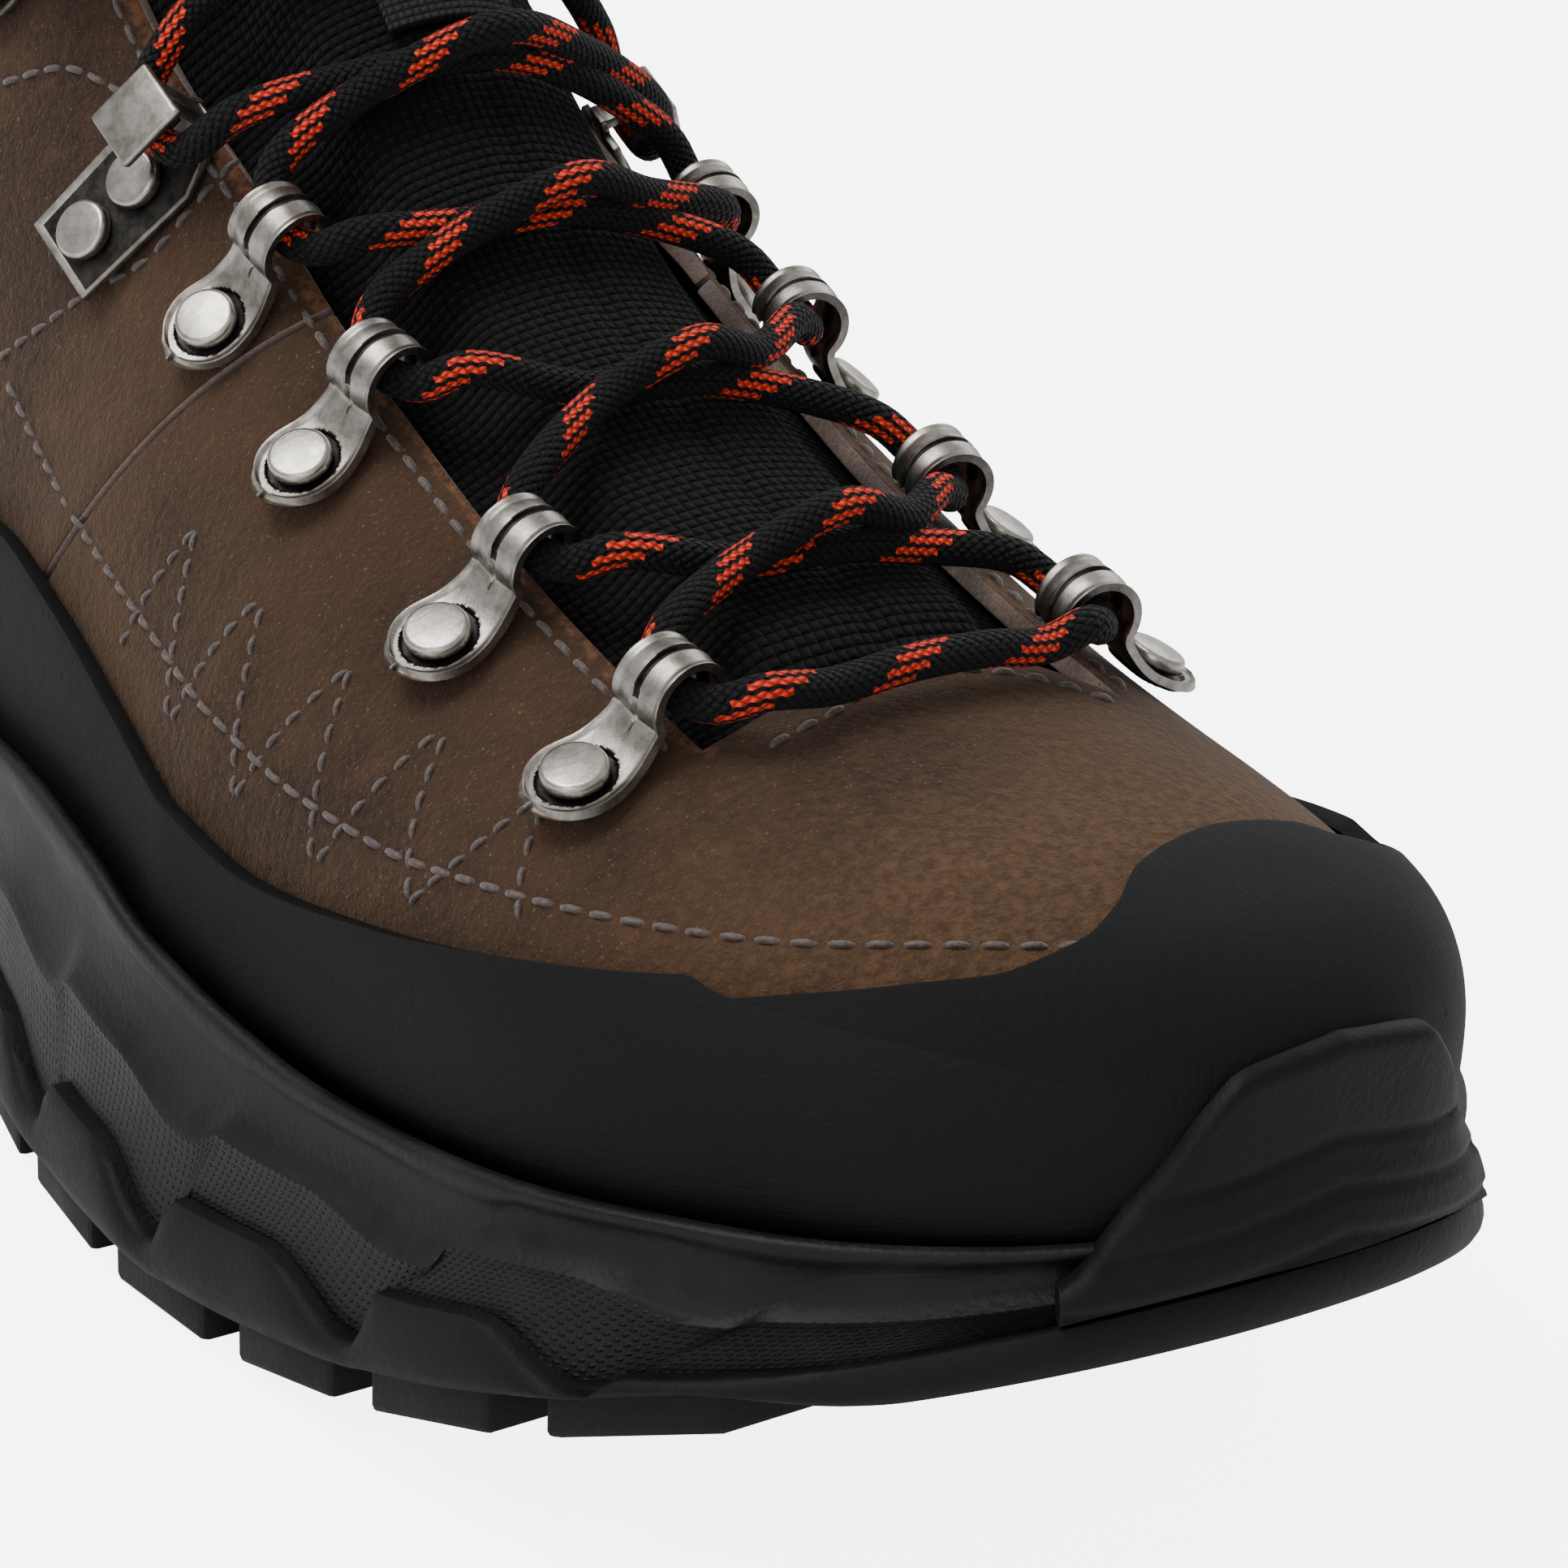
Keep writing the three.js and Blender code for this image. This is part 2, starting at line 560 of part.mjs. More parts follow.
function lipSide(side) {
  const line = [];
  for (let u = 0.03; u < 1.7; u += 0.004) {
    const face = a => skin(u, side * a, randPly(u) + RAND_WALL);
    const above = a => face(a).z - lipLine(alongFoot(face(a)));
    let lo = 0.4 * Math.PI;
    let hi = Math.PI;
    if (above(hi) > 0) continue;
    while (hi - lo > 1e-4) {
      const mid = (lo + hi) / 2;
      if (above(mid) > 0) lo = mid;
      else hi = mid;
    }
    line.push(face(lo));
  }
  return line;
}
const lipSides = [lipSide(-1), lipSide(1)];

// The outline of the rand at the height of the lip, set out by `out`, and by less at the toe.
function lipRing(out, height, steps = RING) {
  const both = lipSides.map(line => {
    const toe = line[0].clone().setX((lipSides[0][0].x + lipSides[1][0].x) / 2);
    const heel = line[line.length - 1].clone().setX(0);
    const path = [toe, ...line, heel];
    const reach = [0];
    for (let i = 1; i < path.length; i += 1) reach.push(reach[i - 1] + path[i].distanceTo(path[i - 1]));
    return Array.from({ length: steps + 1 }, (_, k) => {
      const want = reach[reach.length - 1] * (1 - Math.cos(Math.PI * k / steps)) / 2;
      let i = 1;
      while (reach[i] < want && i < path.length - 1) i += 1;
      const t = (want - reach[i - 1]) / (reach[i] - reach[i - 1]);
      return path[i - 1].clone().lerp(path[i], clamp(t, 0, 1));
    });
  });
  const loop = [...both[0], ...both[1].slice(1, -1).reverse()];
  return loop.map((p, i) => {
    const before = loop[(i + loop.length - 1) % loop.length];
    const after = loop[(i + 1) % loop.length];
    const t = new THREE.Vector2(after.x - before.x, after.y - before.y).normalize();
    const reach = out * mix(0.42, 1, smooth(8, 32, alongFoot(p)));
    const q = new THREE.Vector3(p.x - t.y * reach, p.y + t.x * reach, 0);
    return q.setZ(height(alongFoot(q)));
  });
}

add('midsole', stack([
  ring(3.2, s => rubberTop(s) + GAP),
  ring(2.8, s => mix(rubberTop(s), lipLine(s), 0.35)),
  lipRing(LIP_WALL + LIP_SLACK, lipLine),
  lipRing(LIP_SLACK, s => lipLine(s) - 0.6),
  lipRing(LIP_SLACK, s => footTop(s) - GAP),
]), foamRubber);

// ---- toe bumper: tread rubber turned up over the front of the midsole ---------------------
const bumperTop = curve([[0, 57.5], [11, 56], [14.5, 53], [18, 48], [22, 43], [25, 38.6], [27, 37]]);
function bumper() {
  const steps = 3 * RING;
  const span = 7;
  const row = (inset, share) => ring(inset, rubberTop, steps).map(p => {
    const base = p.z + GAP;
    const across = Math.abs(p.x / WIDTH_SCALE - treadCentre(0));
    return p.setZ(mix(base, Math.max(bumperTop(across), base + 1), share));
  });
  const rows = [row(-0.8, 0), row(-0.8, 0.6), row(0.4, 1), row(1.5, 0.97), row(1.5, 0.6), row(1.1, 0)];
  const n = 2 * steps;
  const picks = [];
  for (let i = -span; i <= span; i += 1) picks.push((i + n) % n);
  const points = picks.flatMap(i => rows.map(row => row[i]));
  const faces = [];
  const k = rows.length;
  for (let i = 0; i + 1 < picks.length; i += 1) {
    for (let r = 0; r < k; r += 1) {
      const q = (r + 1) % k;
      const [a, b, c, d] = [i * k + r, (i + 1) * k + r, (i + 1) * k + q, i * k + q];
      faces.push([a, b, c], [a, c, d]);
    }
  }
  for (const [base, flip] of [[0, false], [(picks.length - 1) * k, true]]) {
    for (let r = 1; r + 1 < k; r += 1) {
      const f = [base, base + r, base + r + 1];
      faces.push(flip ? [f[0], f[2], f[1]] : f);
    }
  }
  return solid(points, faces);
}
add('toe_bumper', bumper(), rubberBlack);

// ---- lace hooks --------------------------------------------------------------------------
// Each hook is a pressed plate riveted to the eyestay, with its nose over the tongue.
const LOOP_BORE = LACE + 2.4;
const LOOP_WALL = 1.3;
const LOOP_WIDTH = 4;
const NOSE_LIFT = LOOP_BORE / 2 + LOOP_WALL + 0.5; // lace centre above the leather
const RIVET_BACK = 11.5;       // from the nose to the rivet, over the leather
const LOOPS = [stationAt(63), stationAt(87), swing(1.5), swing(14)];
const LOCK = swing(27);
const OPEN_HOOKS = [swing(46), swing(66)];

// A frame on the skin: x towards the throat, y up the eyestay, z off the leather.
function eyestayFrame(u, side, back, lift) {
  const edge = EDGE(u, side);
  const step = 0.02;
  const across = skinPoint(u, side * edge).distanceTo(skinPoint(u, side * (edge + step))) / step;
  const a = side * (edge + back / across);
  const origin = skin(u, a, lift);
  const z = skinNormal(u, a);
  const x = skinPoint(u, a - side * 0.05).sub(skinPoint(u, a + side * 0.05)).normalize();
  x.addScaledVector(z, -x.dot(z)).normalize();
  const y = z.clone().cross(x);
  return new THREE.Matrix4().makeBasis(x, y, z).setPosition(origin);
}

function drop(round, tail, thick) {
  const shape = new THREE.Shape();
  const lean = Math.acos((round - tail.r) / tail.x);
  shape.absarc(0, 0, round, lean, 2 * Math.PI - lean, false);
  shape.absarc(tail.x, 0, tail.r, -lean, lean, false);
  return new THREE.ExtrudeGeometry(shape, { depth: thick, bevelEnabled: false, curveSegments: 8 });
}

const PLATE = 1;
function loopHook() {
  const plate = drop(4.6, { x: RIVET_BACK - 4.2, r: 3.1 }, PLATE).translate(-RIVET_BACK, 0, 0.6);
  const ring = new THREE.Shape();
  const outerRadius = LOOP_BORE / 2 + LOOP_WALL;
  ring.absarc(0, 0, outerRadius, 0, 2 * Math.PI);
  const bore = new THREE.Path();
  bore.absarc(0, 0, LOOP_BORE / 2, 0, 2 * Math.PI);
  ring.holes.push(bore);
  const loop = new THREE.ExtrudeGeometry(ring, { depth: LOOP_WIDTH, bevelEnabled: false, curveSegments: 6 });
  loop.rotateX(Math.PI / 2).translate(0, LOOP_WIDTH / 2, NOSE_LIFT);
  return toGeometry(toManifold(plate).add(toManifold(loop)));
}

function lockHook() {
  const plate = new THREE.ExtrudeGeometry(new THREE.Shape([[-18, -6], [-2, -6.5], [3, -4], [3, 4],
    [-2, 6.5], [-18, 6]].map(([x, y]) => new THREE.Vector2(x, y))), { depth: PLATE, bevelEnabled: false });
  plate.translate(0, 0, 0.6);
  return withPost(plate, 8);
}

// A hook the lace is pulled into: a narrow post towards the throat, and a roof over it.
function withPost(plate, width) {
  const height = NOSE_LIFT + LACE / 2 + 1.3;
  const post = new THREE.BoxGeometry(1.4, 3, height).translate(4.2, 0, height / 2 + 0.4);
  const foot = new THREE.BoxGeometry(7, 3, PLATE).translate(1.6, 0, 0.6 + PLATE / 2);
  const roof = new THREE.BoxGeometry(8.4, width, 1.2).translate(0.7, 0, height + 0.6);
  return toGeometry(Manifold.union([plate, post, foot, roof].map(toManifold)));
}

function openHook() {
  const plate = drop(4.4, { x: RIVET_BACK - 4, r: 3.2 }, PLATE).translate(-RIVET_BACK, 0, 0.6);
  return withPost(plate, 5);
}

function rivetHead() {
  const r = RIVET / 2;
  const profile = [[0, 0], [r, 0], [r, 0.5], [r * 0.6, 1.2], [0, 1.4]];
  return new THREE.LatheGeometry(profile.map(([x, y]) => new THREE.Vector2(x, y)), 10)
    .rotateX(Math.PI / 2).translate(0, 0, 0.6 + PLATE + 0.12);
}

function addRivet(name, frame, x, y = 0) {
  add(name, toGeometry(toManifold(rivetHead().translate(x, y, 0).applyMatrix4(frame))), gunmetal);
}

for (const [word, side] of [['outer', -1], ['inner', 1]]) {
  LOOPS.forEach((u, i) => {
    const frame = eyestayFrame(u, side, 0, 0);
    add(`loop_hook_${word}_${i + 1}`, loopHook().applyMatrix4(frame), gunmetal);
    addRivet(`loop_rivet_${word}_${i + 1}`, frame, -RIVET_BACK);
  });
  const lockFrame = eyestayFrame(LOCK, side, 4, 0);
  add(`lock_hook_${word}`, lockHook().applyMatrix4(lockFrame), gunmetal);
  addRivet(`lock_rivet_${word}_1`, lockFrame, -13.4);
  addRivet(`lock_rivet_${word}_2`, lockFrame, -5.6);
  OPEN_HOOKS.forEach((u, i) => {
    const frame = eyestayFrame(u, side, 4, 0);
    add(`open_hook_${word}_${i + 1}`, openHook().applyMatrix4(frame), gunmetal);
    addRivet(`open_rivet_${word}_${i + 1}`, frame, -RIVET_BACK);
  });
}

// ---- lace ------------------------------------------------------------------------------------
// One cord, laced criss-cross from a bar over the vamp up to the top hooks.
const r = LACE / 2;
const TONGUE_FACE = 0.8;
const UNDER = TONGUE_FACE + r + 0.9;
const OVER = UNDER + LACE + 1;

function hookPoints(u, side) {
  const back = u < LOCK ? 0 : 4;
  const frame = eyestayFrame(u, side, back, 0);
  const point = (x, y, z) => new THREE.Vector3(x, -side * y, z).applyMatrix4(frame);
  const z = NOSE_LIFT;
  return [point(5.6 + back, -7, z + 0.7), point(1.5, -4.4, z), point(0, 0, z), point(1.5, 4.4, z),
    point(5.6 + back, 7, z + 0.7)];
}

// The strand from a hook on one side up to the next hook on the other side.
function strand(u0, u1, side, over) {
  return [0.3, 0.5, 0.7].map(f => {
    const u = mix(u0 + 0.06, u1 - 0.06, f);
    const lift = over ? mix(UNDER, OVER, Math.sin(Math.PI * f) ** 4) : UNDER;
    const edge = EDGE(u, f < 0.5 ? side : -side);
    return skin(u, side * edge * (1 - 2 * f), lift);
  });
}

const rows = [...LOOPS, LOCK, ...OPEN_HOOKS];
const KNOT = swing(79);
const KNOT_LIFT = UNDER + 3;
function laceHalf(start) {
  const points = [];
  let side = start;
  rows.forEach((u, i) => {
    points.push(...hookPoints(u, side));
    if (i + 1 < rows.length) {
      points.push(...strand(u, rows[i + 1], side, side < 0));
      side = -side;
    }
  });
  points.push(skin(KNOT - 0.045, side * 0.2, UNDER + 0.8));
  return points;
}

function tube(points, diameter, steps, sides = 8) {
  const path = new THREE.CatmullRomCurve3(points, false, 'centripetal');
  const radius = diameter / 2;
  const outline = Array.from({ length: sides }, (_, i) => {
    const angle = 2 * Math.PI * i / sides;
    return new THREE.Vector2(radius * Math.cos(angle), radius * Math.sin(angle));
  });
  return new THREE.ExtrudeGeometry(new THREE.Shape(outline), { steps, extrudePath: path,
    bevelEnabled: false });
}

const barAt = LOOPS[0] - 0.05;
const bar = [0.5, 0.18, -0.18, -0.5].map(f => skin(barAt, f * EDGE(LOOPS[0], Math.sign(f)), UNDER + 0.2));
const lacePath = [...laceHalf(1).reverse(), ...bar, ...laceHalf(-1)];
add('lace', tube(lacePath, LACE, 160, 6), cord);

add('lace_knot', toGeometry(toManifold(new THREE.SphereGeometry(1, 12, 8).scale(6, 5.6, 5.4)
  .applyMatrix4(new THREE.Matrix4().lookAt(skinNormal(KNOT, 0), new THREE.Vector3(),
    new THREE.Vector3(1, 0, 0)).setPosition(skin(KNOT, 0, KNOT_LIFT))))), cord);

for (const [word, side] of [['outer', -1], ['inner', 1]]) {
  const bow = [[KNOT + 0.045, 0.2, 5.4], [1.995, 0.42, 5], [1.992, 0.75, 4.6], [1.98, 1.05, 4.4],
    [1.95, 1.25, 4.4], [1.905, 1.22, 4.6], [1.89, 1.0, 6.4], [1.905, 0.72, 10],
    [1.93, 0.44, 11], [KNOT, 0.22, 10.4]];
  add(`bow_loop_${word}`, tube(bow.map(([u, a, d]) => skin(u, side * a, d)), LACE, 28, 6), cord);
  const end = [[KNOT + 0.065, 0.18, 11], [2.0, 0.4, 10.6], [1.975, 0.7, 10.2], [1.945, 1.0, 9.9],
    [1.915, 1.3, 9.6], [1.86, 1.46, 5], [1.78, 1.52, 3.4], [1.7, 1.54, 3.2], [1.62, 1.53, 3.2]];
  const path = end.map(([u, a, d]) => skin(u, side * a, d));
  add(`lace_end_${word}`, tube(path, LACE, 24, 6), cord);
  const tip = [[1.612, 1.53, 3.2], [1.54, 1.52, 3.2]].map(([u, a, d]) => skin(u, side * a, d));
  add(`aglet_${word}`, tube(tip, LACE - 1, 2, 8), moulded);
}

// ---- webbing ------------------------------------------------------------------------------------
const keeperAt = swing(28.5);
add('lace_keeper', shell(patch(2, 3, (p, q) => [mix(keeperAt - 0.05, keeperAt + 0.05, p),
  mix(-0.2, 0.2, q)]), flat(TONGUE_FACE + 1.6), flat(TONGUE_FACE + 0.5)), cloth);

// The heel pull loop: a webbing ring that swings on the bar of its sewn tab.
const LOOP_TALL = 30;
const STRAP = 1.4;
const BAR = 1;                 // radius of the bar that the loop turns on
const hinge = skinPoint(1.9, Math.PI).add(new THREE.Vector3(0, 8.6, 0));

const tabPlate = new THREE.BoxGeometry(PULL_LOOP_WIDTH + 2 * HINGE_SLACK + 3.2, 1.6, 14)
  .translate(0, -3.1, -9.5);
const tabBar = new THREE.CylinderGeometry(BAR, BAR, PULL_LOOP_WIDTH + 2 * HINGE_SLACK + 3.2, 12)
  .rotateZ(Math.PI / 2);
const ears = [-1, 1].map(side => new THREE.BoxGeometry(1.6, 4.6, 5)
  .translate(side * (PULL_LOOP_WIDTH / 2 + HINGE_SLACK + 0.8), -1.6, -1.5));
const tab = Manifold.union([tabPlate, tabBar, ...ears].map(toManifold))
  .translate(hinge.x, hinge.y, hinge.z);
add('pull_loop_tab', toGeometry(tab), cloth);

// Its side view is a strap of even thickness from a small bend up to a wide one.
function strapOutline(small, wide) {
  const [cy, cz] = [3.6, LOOP_TALL];
  const reach = Math.hypot(cy, cz);
  const lean = Math.acos((wide - small) / reach);
  const toward = Math.atan2(cz, cy);
  const outline = [];
  for (let i = 0; i <= 12; i += 1) {
    const angle = toward - (Math.PI - lean) + 2 * (Math.PI - lean) * i / 12;
    outline.push(new THREE.Vector2(cy + wide * Math.cos(angle), cz + wide * Math.sin(angle)));
  }
  for (let i = 0; i <= 8; i += 1) {
    const angle = toward + Math.PI - lean + 2 * lean * i / 8;
    outline.push(new THREE.Vector2(small * Math.cos(angle), small * Math.sin(angle)));
  }
  return outline;
}
const bend = BAR + HINGE_SLACK;
const strap = new THREE.Shape(strapOutline(bend + STRAP, 7));
strap.holes.push(new THREE.Path(strapOutline(bend, 7 - STRAP)));
const pullLoop = new THREE.ExtrudeGeometry(strap, { depth: PULL_LOOP_WIDTH, bevelEnabled: false })
  .translate(0, 0, -PULL_LOOP_WIDTH / 2)
  .applyMatrix4(new THREE.Matrix4().makeBasis(new THREE.Vector3(0, 1, 0),
    new THREE.Vector3(0, 0, 1), new THREE.Vector3(1, 0, 0)));
const pullMesh = add('pull_loop', pullLoop, cloth);
pullMesh.position.copy(hinge);

export default boot;
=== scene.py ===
# %% [markdown]
# # A laced hiking boot
# The boot is a right one, toe towards -Y and outer side towards -X. Its frame comes from
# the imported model: the pieces, where they are and the hinge of the heel pull loop. Here
# every visible piece gets its fine shape and its finish. Sizes below are in millimetres,
# as a shoemaker gives them, and `MM` turns them into the metres that Blender works in.

# %% Load the frame
import bpy
import numpy as np
from mathutils import Matrix, Vector
from mathutils.bvhtree import BVHTree


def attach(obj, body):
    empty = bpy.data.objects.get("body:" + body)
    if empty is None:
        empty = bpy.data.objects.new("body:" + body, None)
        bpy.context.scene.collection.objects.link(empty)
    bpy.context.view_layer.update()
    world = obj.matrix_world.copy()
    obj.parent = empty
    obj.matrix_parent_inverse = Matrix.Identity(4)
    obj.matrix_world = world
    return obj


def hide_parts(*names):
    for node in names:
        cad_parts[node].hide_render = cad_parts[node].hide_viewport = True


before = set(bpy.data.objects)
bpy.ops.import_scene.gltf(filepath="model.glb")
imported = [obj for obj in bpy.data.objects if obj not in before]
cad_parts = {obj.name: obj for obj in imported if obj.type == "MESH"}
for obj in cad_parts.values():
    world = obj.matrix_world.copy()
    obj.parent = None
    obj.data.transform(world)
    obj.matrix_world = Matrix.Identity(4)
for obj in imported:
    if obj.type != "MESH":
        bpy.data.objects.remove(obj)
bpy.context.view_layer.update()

MM = 0.001
bpy.ops.object.select_all(action="DESELECT")

# %% [markdown]
# ## Curves
# Boots have no straight lines. A shoemaker draws each profile as a few points and a
# smooth line through them, so each profile here is a short list of points too. The curve
# never overshoots its points, which keeps a sole from getting waves nobody drew.

# %% Smooth curves
def curve(*points):
    x, y = np.array(points, float).T
    slope = np.diff(y) / np.diff(x)
    tangent = np.zeros(len(x))
    tangent[0], tangent[-1] = slope[0], slope[-1]
    before, after = slope[:-1], slope[1:]
    rising = before * after > 0
    total = np.where(rising, before + after, 1.0)
    tangent[1:-1] = np.where(rising, 2 * before * after / total, 0.0)

    def at(v):
        v = np.asarray(v, float)
        i = np.clip(np.searchsorted(x, v) - 1, 0, len(x) - 2)
        h = x[i + 1] - x[i]
        t = (v - x[i]) / h
        a = (1 + 2 * t) * (1 - t) ** 2 * y[i] + t * (1 - t) ** 2 * h * tangent[i]
        b = t * t * (3 - 2 * t) * y[i + 1] + t * t * (t - 1) * h * tangent[i + 1]
        low = y[0] + tangent[0] * (v - x[0])
        high = y[-1] + tangent[-1] * (v - x[-1])
        return np.where(v < x[0], low, np.where(v > x[-1], high, a + b))

    return at


def mix(a, b, t):
    return a + (b - a) * t


def smooth(lo, hi, x):
    t = np.clip((np.asarray(x, float) - lo) / (hi - lo), 0, 1)
    return t * t * (3 - 2 * t)


def round_end(distance, reach, power=2.15):
    t = 1 - np.clip(np.asarray(distance, float) / reach, 0, 1)
    return (1 - t ** power) ** (1 / power)


def bump_at(x, centre, width):
    return np.exp(-((x - centre) / width) ** 2)


# %% [markdown]
# ## The last
# A real boot is pulled over a last, a solid foot shape, and takes its form from it. The
# last here is a formula: station `u` goes from the toe (0) over the ball (1) to the
# collar (2), and angle `a` goes round each section, 0 on top, minus on the outer side.
# Every layer of the upper is this one skin at its own depth, so layers can't cross.

# %% The last
LENGTH, UPPER_START = 302, 6
HALF = LENGTH / 2
PI = np.pi
SWING_S, SWING_Z, TO_COLLAR = 105, 190, 83.5
foot_top = curve((0, 41), (16, 37), (31, 33.5), (51, 30.5), (76, 28.2), (111, 27), (150, 28.5),
                 (180, 31.5), (205, 34.5), (240, 37.5), (275, 39.3), (302, 40))
top_line = curve((0, 50), (1, 54), (4, 58.5), (10, 62.5), (22, 66.5), (40, 70.5), (62, 76.5),
                 (85, 85), (105, 95))
instep_reach = curve((0, 95), (10, 86.5), (20, 79), (30, 73.5), (40, 69.5), (50, 67), (60, 66),
                     (70, 66.5), (83.5, 67.5), (95, 69))
sole_reach = curve((0, 163), (10, 165), (20, 170), (30, 180), (40, 197), (45, 209), (48.5, 221),
                   (51, 226), (54, 223.5), (57, 217.5), (60, 210.5), (66, 197.5), (72, 186),
                   (78, 181), (83.5, 181), (95, 183))
outer_foot = curve((0, 40), (30, 45), (60, 47.5), (90, 49), (105, 49.5))
inner_foot = curve((0, 36), (30, 40), (60, 42.5), (90, 44.5), (105, 44.5))
centre_foot = curve((0, 9), (30, 6), (60, 4.5), (105, 2.5))
outer_swing = curve((0, 49.5), (15, 46), (30, 42), (45, 41), (60, 40), (75, 42), (95, 45))
inner_swing = curve((0, 44.5), (15, 40), (30, 37), (45, 37), (60, 38), (75, 41), (95, 44))
centre_swing = curve((0, 2.5), (25, 1), (50, 0), (95, 0))
widest = curve((0, 0.6), (60, 0.64), (105, 0.68), (125, 0.7), (145, 0.62), (165, 0.54), (200, 0.5))
top_power = curve((0, 2.4), (40, 2.1), (80, 1.95), (105, 1.9), (135, 1.85), (160, 2.1), (200, 2.2))
sole_power = curve((0, 3), (40, 4.4), (105, 5), (145, 4), (160, 2.6), (200, 2.3))


def bottom_line(s):
    return foot_top(s + UPPER_START) + (50 - foot_top(UPPER_START)) * (1 - np.clip(s / 4, 0, 1)) ** 2


def skin_point(u, a):
    u, a = np.broadcast_arrays(np.maximum(np.asarray(u, float), 0), np.asarray(a, float))
    front = u <= 1
    s = SWING_S * (1 - np.cos(np.minimum(u, 1) * PI / 2))
    degrees = (np.maximum(u, 1) - 1) * TO_COLLAR
    angle = np.radians(degrees)
    at = np.where(front, s, SWING_S + degrees)
    centre = np.where(front, centre_foot(s), centre_swing(degrees))
    outer = np.where(front, outer_foot(s) * round_end(s, 58), outer_swing(degrees))
    inner = np.where(front, inner_foot(s) * round_end(s, 44), inner_swing(degrees))
    top, sole = instep_reach(degrees), sole_reach(degrees)
    top_s = np.where(front, s, SWING_S + top * np.sin(angle))
    top_z = np.where(front, top_line(s), SWING_Z - top * np.cos(angle))
    sole_s = np.where(front, s, SWING_S + sole * np.sin(angle))
    sole_z = np.where(front, bottom_line(s), SWING_Z - sole * np.cos(angle))
    turn = np.minimum(np.abs(a), PI)
    upper = turn <= PI / 2
    power = 2 / np.where(upper, top_power(at), sole_power(at))
    across = np.maximum(np.sin(turn), 0) ** power
    along = np.abs(np.cos(turn)) ** power
    w = widest(at)
    t = np.where(upper, w * (1 - along), w + (1 - w) * along)
    x = centre + np.where(a < 0, -outer, inner) * across
    return np.stack([x, UPPER_START + mix(top_s, sole_s, t) - HALF, mix(top_z, sole_z, t)], -1)


def wrap(a):
    return (a + PI) % (2 * PI) - PI


def skin_normal(u, a):
    u, a = np.broadcast_arrays(np.asarray(u, float), np.asarray(a, float))
    du = skin_point(u + 0.012, a) - skin_point(u - 0.012, a)
    da = skin_point(u, wrap(a + 0.05)) - skin_point(u, wrap(a - 0.05))
    normal = np.cross(da, du)
    normal /= np.maximum(np.linalg.norm(normal, axis=-1, keepdims=True), 1e-9)
    middle = (skin_point(u, PI / 2) + skin_point(u, -PI / 2)) / 2
    inside = np.sum(normal * (skin_point(u, a) - middle), -1) < 0
    normal = np.where(inside[..., None], -normal, normal)
    return np.where((u < 0.02)[..., None], np.array([0, -1.0, 0]), normal)


def skin(u, a, depth=0.0):
    depth = np.broadcast_to(np.asarray(depth, float), np.broadcast(u, a).shape)
    return skin_point(u, a) + skin_normal(u, a) * depth[..., None]


def station(s):
    return 2 / PI * np.arccos(1 - (s - UPPER_START) / SWING_S)


def swing(degrees):
    return 1 + degrees / TO_COLLAR


def angle_where(test, lo, hi, steps=34):
    """The angle where test(angle) falls through 0, for a whole array at once."""
    lo, hi = np.array(lo, float), np.array(hi, float)
    for _ in range(steps):
        middle = (lo + hi) / 2
        high = test(middle) > 0
        lo, hi = np.where(high, middle, lo), np.where(high, hi, middle)
    return (lo + hi) / 2


THROAT = station(56)
THROAT_GAP, COLLAR_GAP, THROAT_SHIFT = 45, 54, 2


def edge(u, side):
    """The angle of the eyestay edge on one side: -1 outer, 1 inner."""
    u = np.asarray(u, float)
    at = np.maximum(u, THROAT - 0.1)
    reach = mix(THROAT_GAP, COLLAR_GAP, smooth(0.9, 1.9, at)) / 2
    reach = reach - side * THROAT_SHIFT * (1 - smooth(0.9, 1.3, at))
    middle = skin_point(at, 0.0)[..., 0]
    test = lambda a: reach - side * (skin_point(at, side * a)[..., 0] - middle)
    angle = angle_where(test, np.full(at.shape, 0.02), np.full(at.shape, 1.5))
    return angle * smooth(-0.6, THROAT - 0.05, u)


def edge_either(u, a):
    return np.where(np.asarray(a) < 0, edge(u, -1), edge(u, 1))


print("the last is", np.round(skin_point(np.linspace(0, 2, 9), 0.0)[:, 2], 1), "high along its top")

# %% [markdown]
# ## Camera, floor and light
# The camera stands low in front of the outer side, close to the boot, and leans 3 degrees.
# The light is a studio's: a large soft panel on the far side, a wide fill and a pale floor.

# %% Camera
AZIMUTH, ELEVATION, DISTANCE, ROLL = np.radians(36), np.radians(21), 390, np.radians(3)
TARGET = np.array([8, -75, 55])
to_camera = np.array([-np.sin(AZIMUTH) * np.cos(ELEVATION), -np.cos(AZIMUTH) * np.cos(ELEVATION),
                      np.sin(ELEVATION)])
right = np.cross(-to_camera, [0, 0, 1])
right /= np.linalg.norm(right)
up = np.cross(to_camera, right)
axis_x = right * np.cos(ROLL) + up * np.sin(ROLL)
axis_y = up * np.cos(ROLL) - right * np.sin(ROLL)
camera_data = bpy.data.cameras.new("camera")
camera = bpy.data.objects.new("camera", camera_data)
bpy.context.scene.collection.objects.link(camera)
turn = Matrix((axis_x, axis_y, to_camera)).transposed().to_4x4()
camera.matrix_world = Matrix.Translation(Vector((TARGET + DISTANCE * to_camera) * MM)) @ turn
camera_data.sensor_width = 36
camera_data.lens = 89.4
camera_data.shift_x, camera_data.shift_y = -0.034, 0.005
camera_data.clip_start = 0.02
bpy.context.scene.camera = camera
print("camera at", tuple(round(v, 3) for v in camera.location))


# %% Materials: small helpers
def new_material(name):
    m = bpy.data.materials.new(name)
    m.use_nodes = True
    return m, m.node_tree, m.node_tree.nodes["Principled BSDF"]


